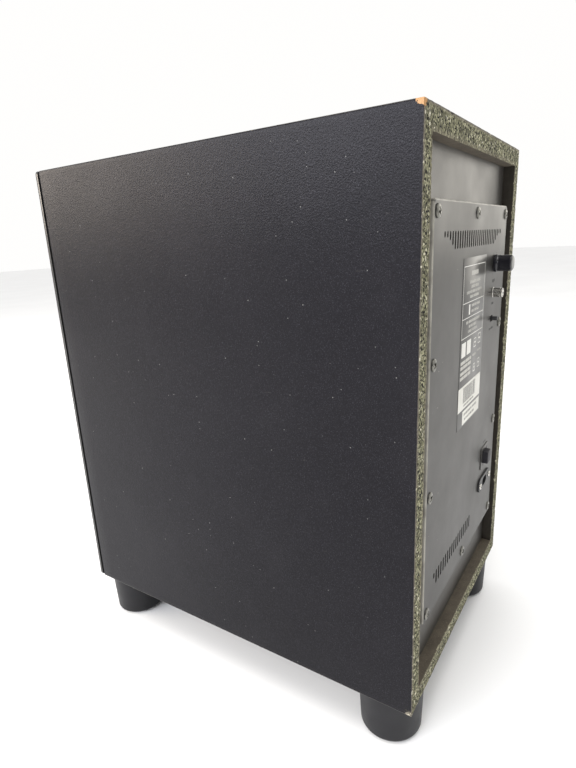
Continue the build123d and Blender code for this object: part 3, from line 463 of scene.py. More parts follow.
def steel_material(name, dark, light, rough):
    """Plated steel with faint directional brushing."""
    paint = Paint(name)
    streak = paint.noise(220, 4, 0.6, paint.stretched((1.0, 12.0, 1.0)))
    paint.set("Base Color", paint.ramp(streak, [(0.3, dark), (0.7, light)]))
    paint.set("Metallic", 1.0)
    paint.set("Roughness", paint.ramp(paint.noise(150, 3), [(0.3, rough[0]), (0.7, rough[1])]))
    paint.set("Normal", paint.bump(streak, 0.00002, 0.5))
    return paint.material


def winding_material():
    """Enamelled copper wire, turn beside turn."""
    paint = Paint("copper_winding")
    turns = paint.node("ShaderNodeTexWave", {"Vector": paint.place, "Scale": 700.0, "Distortion": 0.3},
                       wave_type="BANDS", bands_direction="Y").outputs["Fac"]
    paint.set("Base Color", paint.ramp(turns, [(0.1, (0.16, 0.05, 0.02)), (0.7, (0.62, 0.26, 0.1))]))
    paint.set("Metallic", 0.8)
    paint.set("Roughness", 0.35)
    paint.set("Normal", paint.bump(turns, 0.0002, 0.8))
    return paint.material


def wadding_material():
    """White polyester fibre."""
    paint = Paint("wadding_fibre")
    strands = paint.noise(340, 6, 0.8)
    paint.set("Base Color", paint.ramp(strands, [(0.3, (0.5, 0.5, 0.47)), (0.7, (0.86, 0.85, 0.81))]))
    paint.set("Roughness", 0.95)
    paint.set("Sheen Weight", 0.3)
    paint.set("Normal", paint.bump(strands, 0.0015, 0.8))
    return paint.material


def circuit_material():
    """Green solder mask with faint tracks."""
    paint = Paint("circuit_board")
    tracks = paint.ramp(paint.cells(240, "Distance", "DISTANCE_TO_EDGE", randomness=0.25),
                        [(0.04, (0.03, 0.16, 0.06)), (0.09, (0.012, 0.075, 0.03))])
    paint.set("Base Color", tracks)
    paint.set("Roughness", 0.35)
    return paint.material


def all_materials():
    """One material for each of the record's slots, and the extra ones of the detailed pieces."""
    return {
        "black_vinyl": vinyl_material(),
        "chipboard": chipboard_material(),
        "board_face": board_face_material("board_face", 1.0),
        # A darker copy of the board face: painted shade for the inner faces of the side boards.
        "board_face_painted_shade": board_face_material("board_face_painted_shade", 0.3),
        "black_board": panel_material(),
        "painted_steel": plate_material(),
        "black_plastic": simple("black_plastic", (0.011, 0.011, 0.012), (0.017, 0.017, 0.018), (0.36, 0.48), 40,
                                grain=0.00004, level=0.45),
        "grille_plastic": simple("grille_plastic", (0.022, 0.022, 0.022), (0.028, 0.028, 0.027), (0.28, 0.31), 30,
                                 grain=0.00003, level=0.65),
        "foot_plastic": simple("foot_plastic", (0.006, 0.006, 0.0078), (0.01, 0.01, 0.0125), (0.42, 0.52), 30,
                               grain=0.00005, level=0.3),
        "gloss_black_plastic": simple("gloss_black_plastic", (0.0065, 0.006, 0.009), (0.0095, 0.009, 0.013),
                                      (0.14, 0.24), 80),
        "button_plastic": simple("button_plastic", (0.012, 0.011, 0.0145), (0.018, 0.0165, 0.021), (0.45, 0.55), 90,
                                 grain=0.00004, level=0.25),
        "cap_grey": simple("cap_grey", (0.16, 0.16, 0.155), (0.22, 0.22, 0.21), (0.3, 0.42), 200),
        "black_rubber": simple("black_rubber", (0.012, 0.012, 0.012), (0.02, 0.02, 0.02), (0.55, 0.7), 60,
                               grain=0.00008),
        "grille_fabric": knit_material(),
        "wadding_fibre": wadding_material(),
        "zinc_steel": steel_material("zinc_steel", (0.24, 0.24, 0.225), (0.36, 0.355, 0.33), (0.34, 0.46)),
        "black_screws": steel_material("black_screws", (0.13, 0.127, 0.115), (0.22, 0.215, 0.19), (0.26, 0.38)),
        "label_film": label_material(),
        "ink_white": ink_material("ink_white", (0.74, 0.73, 0.69)),
        "ink_pale": ink_material("ink_pale", (0.5, 0.49, 0.45)),
        "ink_dark": ink_material("ink_dark", (0.012, 0.011, 0.01)),
        "sticker_paper": simple("sticker_paper", (0.6, 0.59, 0.54), (0.7, 0.69, 0.64), (0.4, 0.55), 60),
        "ink_grey": ink_material("ink_grey", (0.2, 0.2, 0.19)),
        "nickel": simple("nickel", (0.5, 0.485, 0.45), (0.62, 0.6, 0.56), (0.13, 0.2), 150, metal=1.0),
        "white_plastic": simple("white_plastic", (0.68, 0.67, 0.62), (0.8, 0.79, 0.75), (0.35, 0.5), 90),
        "paper_cone": cone_material(),
        "ferrite": simple("ferrite", (0.02, 0.02, 0.022), (0.05, 0.05, 0.052), (0.5, 0.7), 120, grain=0.0001),
        "kapton": simple("kapton", (0.3, 0.13, 0.02), (0.5, 0.25, 0.05), (0.2, 0.35), 80),
        "copper_wire": winding_material(),
        "spider_cloth": simple("spider_cloth", (0.4, 0.26, 0.07), (0.6, 0.42, 0.14), (0.7, 0.85), 300, grain=0.0004),
        "circuit_board": circuit_material(),
        "aluminium": steel_material("aluminium", (0.11, 0.11, 0.115), (0.17, 0.17, 0.175), (0.4, 0.52)),
        "laminations": steel_material("laminations", (0.12, 0.12, 0.12), (0.2, 0.2, 0.2), (0.45, 0.6)),
        "red_insulation": simple("red_insulation", (0.34, 0.02, 0.015), (0.48, 0.035, 0.025), (0.4, 0.5), 70),
        "black_insulation": simple("black_insulation", (0.012, 0.012, 0.012), (0.02, 0.02, 0.02), (0.4, 0.5), 70),
        "capacitor_sleeve": simple("capacitor_sleeve", (0.012, 0.016, 0.05), (0.02, 0.026, 0.075), (0.2, 0.3), 90),
        "board_brown": simple("board_brown", (0.12, 0.055, 0.02), (0.2, 0.1, 0.04), (0.4, 0.55), 200),
    }


MATERIALS = {}


# ---------------------------------------------------------------- mesh helpers

def piece(name, points, faces, body, slot, replaced=(), materials=(), face_materials=None, smooth=30.0):
    """A mesh object that rides a body, with its materials (the slot's own when none are given); the CAD nodes it
    stands for are hidden.
    """
    mesh = bpy.data.meshes.new(name)
    mesh.from_pydata([tuple(p) for p in points], [], faces)
    mesh.validate()
    if face_materials:
        mesh.polygons.foreach_set("material_index", face_materials)
    return finished(name, mesh, body, slot, replaced, materials, smooth)


def finished(name, mesh, body, slot, replaced=(), materials=(), smooth=30.0):
    """Links a mesh as a piece, with outward normals and smooth shading up to an angle."""
    shape = bmesh.new()
    shape.from_mesh(mesh)
    bmesh.ops.recalc_face_normals(shape, faces=shape.faces)
    shape.to_mesh(mesh)
    shape.free()
    for key in materials or (slot,):
        mesh.materials.append(MATERIALS[key])
    mesh.shade_smooth()
    mesh.set_sharp_from_angle(angle=math.radians(smooth))
    made = bpy.data.objects.new(name, mesh)
    bpy.context.scene.collection.objects.link(made)
    if body:
        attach(made, body)
    for node in replaced:
        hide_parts(node)
    return made


def loft(rings, close=True):
    """Points and faces of closed rings joined one to the next; close joins the last ring to the first."""
    count = len(rings[0])
    points = [p for ring in rings for p in ring]
    faces = []
    pairs = [(i, i + 1) for i in range(len(rings) - 1)]
    if close:
        pairs.append((len(rings) - 1, 0))
    for a, b in pairs:
        for j in range(count):
            k = (j + 1) % count
            faces.append((a * count + j, a * count + k, b * count + k, b * count + j))
    return points, faces


def arc(centre_at, radius, start, end, steps):
    """Points on an arc, angles in degrees."""
    turns = [math.radians(start + (end - start) * i / steps) for i in range(steps + 1)]
    return [(centre_at[0] + radius * math.cos(t), centre_at[1] + radius * math.sin(t)) for t in turns]


def turned(profile, at, axis="Y", steps=96, shape=None):
    """Points and faces of a closed profile of (radius, along) turned about an axis through at.
    A profile that starts and ends on the axis closes there. shape(angle, radius, along) may change the radius."""
    on_axis = profile[0][0] < 1e-9 and profile[-1][0] < 1e-9
    body = profile[1:-1] if on_axis else profile
    rings = []
    for radius, along in body:
        ring = []
        for i in range(steps):
            angle = 2 * math.pi * i / steps
            r = shape(angle, radius, along) if shape else radius
            across, up = r * math.cos(angle), r * math.sin(angle)
            ring.append(spot(at, axis, across, up, along))
        rings.append(ring)
    points, faces = loft(rings, close=not on_axis)
    if on_axis:
        for end, index in ((0, 0), (-1, len(rings) - 1)):
            points.append(spot(at, axis, 0, 0, profile[end][1]))
            hub = len(points) - 1
            for i in range(steps):
                faces.append((hub, index * steps + i, index * steps + (i + 1) % steps))
    return points, faces


def spot(at, axis, across, up, along):
    """A point given across, up and along an axis through at. Along is the axis coordinate itself."""
    if axis == "Y":
        return (at[0] + across, along, at[2] + up)
    return (at[0] + across, at[1] + up, along)


def rounded_box(name, low, high, bevel, body, slot, replaced=(), materials=(), segments=3, smooth=35.0):
    """A block with rounded edges."""
    shape = bmesh.new()
    bmesh.ops.create_cube(shape, size=1.0)
    for vertex in shape.verts:
        vertex.co = Vector([low[i] + (vertex.co[i] + 0.5) * (high[i] - low[i]) for i in range(3)])
    bmesh.ops.bevel(shape, geom=list(shape.edges), offset=bevel, segments=segments, profile=0.5, affect="EDGES")
    mesh = bpy.data.meshes.new(name)
    shape.to_mesh(mesh)
    shape.free()
    return finished(name, mesh, body, slot, replaced, materials, smooth)


def boxes(blocks):
    """Points and faces of many plain blocks, each given as its two corners."""
    points, faces = [], []
    for low, high in blocks:
        base = len(points)
        for x in (low[0], high[0]):
            for y in (low[1], high[1]):
                for z in (low[2], high[2]):
                    points.append((x, y, z))
        for quad in ((0, 1, 3, 2), (4, 6, 7, 5), (0, 4, 5, 1), (2, 3, 7, 6), (0, 2, 6, 4), (1, 5, 7, 3)):
            faces.append(tuple(base + i for i in quad))
    return points, faces


def carved(solid, cutter):
    """The mesh of one object with another cut out of it. Both are removed."""
    modifier = solid.modifiers.new("cut", "BOOLEAN")
    modifier.operation, modifier.solver, modifier.object = "DIFFERENCE", "EXACT", cutter
    bpy.context.view_layer.update()
    graph = bpy.context.evaluated_depsgraph_get()
    mesh = bpy.data.meshes.new_from_object(solid.evaluated_get(graph))
    for used in (solid, cutter):
        bpy.data.objects.remove(used)
    return mesh


def loose(name, points, faces):
    """A scratch object, for cutting."""
    mesh = bpy.data.meshes.new(name)
    mesh.from_pydata([tuple(p) for p in points], [], faces)
    shape = bmesh.new()
    shape.from_mesh(mesh)
    bmesh.ops.recalc_face_normals(shape, faces=shape.faces)
    shape.to_mesh(mesh)
    shape.free()
    made = bpy.data.objects.new(name, mesh)
    bpy.context.scene.collection.objects.link(made)
    return made


# ---------------------------------------------------------------- cabinet

def rounded_ring(half_x, low_z, high_z, radius, y, steps=(26, 40), corner=5):
    """A rounded rectangle in X and Z, always with the same number of points."""
    ring = []
    corners = [(half_x, high_z, 0), (-half_x, high_z, 90), (-half_x, low_z, 180), (half_x, low_z, 270)]
    for index, (x, z, start) in enumerate(corners):
        cx = x - math.copysign(radius, x)
        cz = z - radius if z == high_z else z + radius
        bend = arc((cx, cz), radius, start, start + 90, corner)
        ring += bend
        next_x, next_z, next_start = corners[(index + 1) % 4]
        nx = next_x - math.copysign(radius, next_x)
        nz = next_z - radius if next_z == high_z else next_z + radius
        goal = arc((nx, nz), radius, next_start, next_start + 90, corner)[0]
        count = steps[0] if index % 2 == 0 else steps[1]
        ring += [(bend[-1][0] + (goal[0] - bend[-1][0]) * i / count,
                  bend[-1][1] + (goal[1] - bend[-1][1]) * i / count) for i in range(1, count)]
    return [(x, y, z) for x, z in ring]


def vinyl_skin():
    """The film: a rounded tube round the boards, turned in at the front as far as the baffle, ragged at the rear."""
    outer_radius, edge = 1.3 * MM, 0.8 * MM
    steps = (90, 140)

    def ring(inset, y, radius):
        return rounded_ring(HALF_WIDTH - inset, BOTTOM + inset, TOP - inset, max(radius, 0.05 * MM), y, steps)

    rear = []
    for x, y, z in ring(0, REAR, outer_radius):
        fray = noise.noise(Vector((x, 3.1, z)) * 260) * 0.35 + noise.noise(Vector((x, 7.7, z)) * 70) * 0.35
        rear.append((x, y - (0.35 + max(0.0, fray)) * MM, z))
    rings = [rear]
    spans = 24
    for i in range(1, spans + 1):
        y = REAR - 1.2 * MM + (BOARD_FRONT + edge - REAR + 1.2 * MM) * i / spans
        rings.append(ring(0, y, outer_radius))
    for across, along in arc((0, 0), edge, 0, 90, 4)[1:]:
        rings.append(ring(edge - across, BOARD_FRONT + edge - along, outer_radius))
    rings.append(ring(WALL - 0.4 * MM, BOARD_FRONT, 0.4 * MM))
    rings.append(ring(WALL + FILM, BOARD_FRONT + 0.6 * MM, 0.2 * MM))
    rings.append(ring(WALL + FILM, BAFFLE_FRONT, 0.2 * MM))
    rings.append(ring(WALL, BAFFLE_FRONT, 0.2 * MM))
    rings.append(ring(WALL, BOARD_FRONT + 0.7 * MM, 0.2 * MM))
    rings.append(ring(FILM, BOARD_FRONT + 0.7 * MM, outer_radius - FILM))
    rings.append([(x * (1 - FILM / HALF_WIDTH), y, z + (FILM if z < (BOTTOM + TOP) / 2 else -FILM))
                  for x, y, z in rear])
    points, faces = loft(rings)
    return piece("vinyl_skin", points, faces, CABINET, "black_vinyl", ["vinyl_wrap"], smooth=50)


def chipped(x, z, depth_in, seed):
    """How far a point of a sawn edge lies below the cut, in metres: pits, lost chips and worn arrises."""
    place = Vector((x, seed, z))
    fine = noise.noise(place * 520)
    coarse = noise.noise(place * 170)
    pit = max(0.0, fine - 0.12) * 1.5 + max(0.0, coarse - 0.25) * 1.2
    arris = min(depth_in, WALL - depth_in)
    worn = max(0.0, 1 - arris / (0.9 * MM)) * (0.25 + 0.5 * max(0.0, coarse + 0.2))
    return (pit + worn) * MM


def board(side):
    """A mitred board whose sawn rear edge is modelled chip by chip."""
    half_z = (TOP - BOTTOM) / 2
    middle_z = (TOP + BOTTOM) / 2
    across_top = side in ("top", "bottom")
    half_outer = (HALF_WIDTH if across_top else half_z) - FILM
    sign = 1 if side in ("top", "left") else -1
    long_steps = int(2 * half_outer / (0.9 * MM))
    deep_steps = 18
    depth = WALL - FILM

    def place(s, t, y):
        """s from -1 to 1 along the board, t from 0 outside to 1 inside."""
        length = half_outer - t * depth
        if across_top:
            return (s * length, y, middle_z + sign * (half_z - FILM - t * depth))
        return (sign * (HALF_WIDTH - FILM - t * depth), y, middle_z + s * length)

    columns, rows = long_steps + 1, deep_steps + 1
    points, faces, kinds = [], [], []
    for i in range(columns):
        for j in range(rows):
            x, y, z = place(-1 + 2 * i / long_steps, j / deep_steps, REAR)
            mitre = min(i, long_steps - i) == 0
            below = 0.25 * MM if mitre else chipped(x, z, j / deep_steps * depth, 2.0 if across_top else 5.0)
            points.append((x, y - below, z))
    for i in range(long_steps):
        for j in range(deep_steps):
            a = i * rows + j
            faces.append((a, a + rows, a + rows + 1, a + 1))
            kinds.append(0)
    border = [i * rows for i in range(columns)]
    border += [long_steps * rows + j for j in range(1, rows)]
    border += [i * rows + deep_steps for i in range(long_steps - 1, -1, -1)]
    border += [j for j in range(deep_steps - 1, 0, -1)]
    front_y = BOARD_FRONT + 0.8 * MM
    base = len(points)
    for index in border:
        x, _, z = points[index]
        points.append((x, front_y, z))
    inner_from, inner_to = columns + rows - 2, 2 * columns + rows - 3
    for k in range(len(border)):
        n = (k + 1) % len(border)
        faces.append((border[k], border[n], base + n, base + k))
        kinds.append(1 if inner_from <= k < inner_to else 0)
    faces.append(tuple(range(base, base + len(border))))
    kinds.append(0)
    # The side boards' inner faces take the darker copy of the board face, as painted shade.
    made = piece(f"board_{side}", points, faces, CABINET, "chipboard",
                 [f"{side}_panel" if across_top else f"side_panel_{side}"],
                 materials=("chipboard", "board_face" if across_top else "board_face_painted_shade"),
                 face_materials=kinds, smooth=60)
    rim = set(border)
    for edge in made.data.edges:
        if rim.issuperset(edge.vertices):
            edge.use_edge_sharp = True


def foot_pieces():
    """Four turned feet with a soft lower edge, each over its pad."""
    low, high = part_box("feet")
    top_radius, low_radius, soft = 26.5 * MM, 25.0 * MM, 4.5 * MM
    profile = [(0, low.z)] + [(low_radius - soft, low.z)]
    profile += arc((low_radius - soft, low.z + soft), soft, -90, 0, 10)[1:]
    profile += [(low_radius + (top_radius - low_radius) * i / 6, low.z + soft + (high.z - low.z - soft) * i / 6)
                for i in range(1, 6)]
    profile += [(top_radius, high.z - 0.5 * MM), (top_radius - 0.5 * MM, high.z), (0, high.z)]
    for x_side, x in (("right", low.x + top_radius), ("left", high.x - top_radius)):
        for y_side, y in (("front", low.y + top_radius), ("rear", high.y - top_radius)):
            points, faces = turned(profile, (x, y, 0), axis="Z", steps=128)
            piece(f"foot_{y_side}_{x_side}", points, faces, CABINET, "black_plastic", ["feet"],
                  materials=("foot_plastic",), smooth=40)


def wadding():
    """Fluffy mat along both sides and the top of the inside."""
    low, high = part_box("damping_wadding")
    mat, steps_y, rise = 20 * MM, 34, 3.0 * MM
    path = [(high.x - mat / 2, low.z), (high.x - mat / 2, high.z - mat), (high.x - mat, high.z - mat / 2),
            (low.x + mat, high.z - mat / 2), (low.x + mat / 2, high.z - mat), (low.x + mat / 2, low.z)]
    line = []
    for a, b in zip(path, path[1:]):
        count = max(2, int(math.dist(a, b) / (9 * MM)))
        line += [(a[0] + (b[0] - a[0]) * i / count, a[1] + (b[1] - a[1]) * i / count) for i in range(count)]
    line.append(path[-1])
    rings = []
    for i, (x, z) in enumerate(line):
        before, after = line[max(0, i - 1)], line[min(len(line) - 1, i + 1)]
        along = Vector((after[0] - before[0], 0, after[1] - before[1])).normalized()
        outward = Vector((along.z, 0, -along.x))
        ring = []
        for face, order in ((1, range(steps_y + 1)), (-1, range(steps_y, -1, -1))):
            for j in order:
                y = low.y + (high.y - low.y) * j / steps_y
                edge = min(j, steps_y - j) / 3
                thick = (mat / 2 - 1.5 * MM) * min(1.0, 0.45 + 0.55 * edge)
                lump = noise.noise(Vector((x, y, z)) * 45 + Vector((face, 0, 0))) * rise
                reach = min(mat / 2 - 0.3 * MM, thick + lump) if face > 0 else thick + lump
                at = Vector((x, y, z)) + outward * face * reach * 0.95
                ring.append(tuple(at))
        rings.append(ring)
    points, faces = loft(rings, close=False)
    count = len(rings[0])
    faces.append(tuple(range(count)))
    faces.append(tuple(range(len(points) - 1, len(points) - 1 - count, -1)))
    mat_piece = piece("wadding_mat", points, faces, CABINET, "wadding_fibre", ["damping_wadding"], smooth=80)


# ---------------------------------------------------------------- amplifier plate

def screw_head(radius, height):
    """Mesh data of a pan head with a cross recess, under-side at y = 0, pointing to +Y."""
    side = [(radius - 0.3 * MM, 0), (radius - 0.3 * MM, 0.2 * MM), (radius, 0.35 * MM), (radius, height * 0.35)]
    dome = [(radius * math.cos(t), height * (0.35 + 0.65 * math.sin(t)))
            for t in [math.radians(90 * i / 9) for i in range(1, 9)]]
    profile = [(0, 0)] + side + dome + [(0, height)]
    head = loose("head", *turned(profile, (0, 0, 0), steps=48))
    reach, wide, floor_y = radius * 0.6, radius * 0.19, height * 0.1
    points, faces = [], []
    for turn in (0, 90):
        base = len(points)
        for y, share in ((floor_y, 0.45), (height * 1.2, 1.15)):
            for a, b in ((1, 1), (-1, 1), (-1, -1), (1, -1)):
                u, v = a * reach * share, b * wide * (0.8 + 0.2 * share)
                points.append((u, y, v) if turn == 0 else (v * 1.001, y, u))
        faces += [tuple(base + i for i in quad) for quad in
                  ((0, 1, 2, 3), (7, 6, 5, 4), (0, 4, 5, 1), (1, 5, 6, 2), (2, 6, 7, 3), (3, 7, 4, 0))]
    first = loose("blade_a", points[:8], faces[:6])
    second = loose("blade_b", points[8:], [tuple(i - 8 for i in quad) for quad in faces[6:]])
    half_cut = loose("half_cut", [], [])
    half_cut.data = carved(head, first)
    return carved(half_cut, second)


def heads_piece(name, template, places, slot, replaced):
    """One piece with a screw head at each (x, y, z), each turned by its own angle."""
    dice = random.Random(len(places) * 7 + 3)
    whole = bmesh.new()
    for x, y, z in places:
        turn = Matrix.Rotation(dice.uniform(0, math.pi / 2), 4, "Y")
        copy = template.copy()
        copy.transform(Matrix.Translation((x, y, z)) @ turn)
        whole.from_mesh(copy)
        bpy.data.meshes.remove(copy)
    mesh = bpy.data.meshes.new(name)
    whole.to_mesh(mesh)
    whole.free()
    return finished(name, mesh, CABINET, slot, replaced, smooth=35)


def plate_screw_places():
    """Ten screws: four down each side of the plate, one in the middle of its top and bottom."""
    edge_x, edge_z = 7.5 * MM, 7.5 * MM
    low_z, high_z = PLATE_LOW.z + edge_z, PLATE_HIGH.z - edge_z
    rows = [low_z + (high_z - low_z) * i / 3 for i in range(4)]
    sides = [(x, FACE, z) for x in (PLATE_LOW.x + edge_x, PLATE_HIGH.x - edge_x) for z in rows]
    return sides + [(0, FACE, low_z), (0, FACE, high_z)]


def screws():
    """The plate's pan heads and the inlet's two small ones."""
    heads_piece("plate_screw_heads", screw_head(4.5 * MM, 1.6 * MM), plate_screw_places(), "black_screws",
                ["amp_plate_screws"])
    reach = 17 * MM
    ear_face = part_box("mains_inlet_body")[1].y
    places = [(INLET.x + way * reach, ear_face, INLET.z) for way in (-1, 1)]
    heads_piece("inlet_screw_heads", screw_head(2.9 * MM, 1.7 * MM), places, "nickel", ["mains_inlet_screws"])


def knob():
    """Fluted level knob with a base ring, a thin white line along the top of its grip and a grey end."""
    low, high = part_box("level_knob")
    tip, start = high.y, low.y
    ring_radius, grip_radius, cap_radius = 7.5 * MM, 6.9 * MM, 5.6 * MM
    grip_from, grip_to = start + 3.4 * MM, tip - 1.7 * MM

    def flute(angle, radius, along):
        inside = grip_from + 0.6 * MM < along < grip_to
        return radius - (0.1 * MM * (0.5 + 0.5 * math.cos(30 * angle)) if inside else 0)

    profile = [(0, start), (ring_radius - 0.4 * MM, start), (ring_radius, start + 0.4 * MM),
               (ring_radius, start + 2.2 * MM), (ring_radius - 0.4 * MM, start + 2.6 * MM),
               (grip_radius + 0.1 * MM, start + 2.9 * MM), (grip_radius, grip_from)]
    profile += [(grip_radius, grip_from + 0.7 * MM), (grip_radius, grip_from + 0.9 * MM),
                (grip_radius, grip_to - 0.2 * MM), (grip_radius, grip_to)]
    profile += arc((grip_radius - 0.8 * MM, grip_to + 0.2 * MM), 0.8 * MM, 0, 90, 6)
    profile += [(cap_radius + 0.15 * MM, grip_to + 1.0 * MM), (cap_radius + 0.1 * MM, grip_to + 0.7 * MM),
                (0, grip_to + 0.7 * MM)]
    points, faces = turned(profile, KNOB, steps=240, shape=flute)
    piece("knob_grip", points, faces, "level_control", "gloss_black_plastic", ["level_knob"], smooth=40)
    cap = [(0, grip_to + 0.5 * MM), (cap_radius, grip_to + 0.5 * MM), (cap_radius, tip - 0.7 * MM)]
    cap += arc((cap_radius - 0.7 * MM, tip - 0.7 * MM), 0.7 * MM, 0, 90, 6)[1:]
    cap += [(0, tip - 0.15 * MM)]
    points, faces = turned(cap, KNOB, steps=96)
    piece("knob_end", points, faces, "level_control", "gloss_black_plastic", materials=("cap_grey",), smooth=40)
    # A thin white line along the top of the grip, in white ink.
    line = [((KNOB.x - 0.5 * MM, grip_from + 1.2 * MM, KNOB.z + grip_radius - 0.3 * MM),
             (KNOB.x + 0.5 * MM, grip_to - 0.3 * MM, KNOB.z + grip_radius + 0.06 * MM))]
    points, faces = boxes(line)
    piece("knob_top_line", points, faces, "level_control", "gloss_black_plastic", materials=("ink_white",))


def jack():
    """Phono jack: nickel barrel with a flange and rolled lip, and its pale insulator."""
    low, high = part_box("input_jack_shell")
    flange, barrel, bore, end = 4.5 * MM, 4.15 * MM, 3.3 * MM, high.y
    profile = [(bore, FACE - 4 * MM), (3.7 * MM, FACE - 4 * MM), (3.7 * MM, FACE), (flange - 0.25 * MM, FACE),
               (flange, FACE + 0.25 * MM), (flange, FACE + 0.35 * MM), (flange - 0.25 * MM, FACE + 0.6 * MM),
               (barrel + 0.2 * MM, FACE + 0.6 * MM), (barrel, FACE + 0.8 * MM), (barrel, end - 2.1 * MM),
               (barrel - 0.25 * MM, end - 1.9 * MM), (barrel - 0.25 * MM, end - 1.5 * MM),
               (barrel, end - 1.3 * MM), (barrel, end - 0.4 * MM), (barrel - 0.35 * MM, end),
               (bore + 0.1 * MM, end), (bore, end - 0.2 * MM)]
    points, faces = turned(profile, JACK, steps=96)
    piece("jack_barrel", points, faces, CABINET, "nickel", ["input_jack_shell"], smooth=35)
    inside, hole, lip = 3.26 * MM, 2.0 * MM, end - 0.7 * MM
    profile = [(hole, FACE - 6 * MM), (inside, FACE - 6 * MM), (inside, lip - 0.3 * MM), (inside - 0.3 * MM, lip),
               (hole + 0.5 * MM, lip), (hole, lip - 0.5 * MM)]
    points, faces = turned(profile, JACK, steps=64)
    piece("jack_insulator", points, faces, CABINET, "white_plastic", ["input_jack_insulator"], smooth=35)


def small_controls():
    """Slide lever, power button with its shallow dish, and the button's flat surround."""
    low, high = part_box("phase_switch_lever")
    rounded_box("slide_lever", low, high, 0.45 * MM, "phase_lever", "black_plastic", ["phase_switch_lever"])
    low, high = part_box("power_button")
    rounded_box("power_button_cap", low, high, 1.0 * MM, "power_key", "gloss_black_plastic", ["power_button"],
                ("button_plastic",), segments=5)
    low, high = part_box("power_switch_bezel")
    half = [(high.x - low.x) / 2, (high.z - low.z) / 2]
    well = 6.4 * MM
    rings = []
    steps = [(half[0], half[1], 1.5 * MM, low.y), (half[0], half[1], 1.5 * MM, high.y - 0.3 * MM),
             (half[0] - 0.3 * MM, half[1] - 0.3 * MM, 1.2 * MM, high.y), (well + 1.6 * MM, well + 1.6 * MM,
             0.8 * MM, high.y), (well + 1.2 * MM, well + 1.2 * MM, 0.6 * MM, high.y - 0.35 * MM),
             (well, well, 0.4 * MM, high.y - 0.35 * MM), (well, well, 0.4 * MM, low.y)]
    for half_x, half_z, radius, y in steps:
        ring = rounded_ring(half_x, BEZEL.z - half_z, BEZEL.z + half_z, radius, y, (6, 6), 4)
        rings.append([(x + BEZEL.x, ry, z) for x, ry, z in ring])
    points, faces = loft(rings)
    piece("power_surround", points, faces, CABINET, "black_plastic", ["power_switch_bezel"],
          materials=("painted_steel",), smooth=35)


def bar(u0, u1, v0, v1, rise, thickness):
    """A printed mark on the label, in millimetres from its top left corner as seen from behind."""
    return ((LABEL_HIGH.x - u1 * MM, rise, LABEL_HIGH.z - v1 * MM),
            (LABEL_HIGH.x - u0 * MM, rise + thickness, LABEL_HIGH.z - v0 * MM))


def text_row(u0, u1, v, height, dice, word=(1.6, 4.5), gap=0.7):
    """A row of word-like marks between two ends, in label millimetres."""
    marks, u = [], u0
    while u < u1 - 0.8:
        end = min(u1, u + dice.uniform(*word))
        marks.append((u, end, v, v + height))
        u = end + gap
    return marks


def letter_row(u0, u1, v, height, dice):
    """A row of short upright marks, as small type looks."""
    marks, u = [], u0
    while u < u1 - 0.5:
        wide = dice.uniform(0.5, 1.0)
        marks.append((u, min(u1, u + wide), v + dice.uniform(0, 0.2), v + height))
        u += wide + dice.choice((0.35, 0.35, 0.35, 1.1))
    return marks


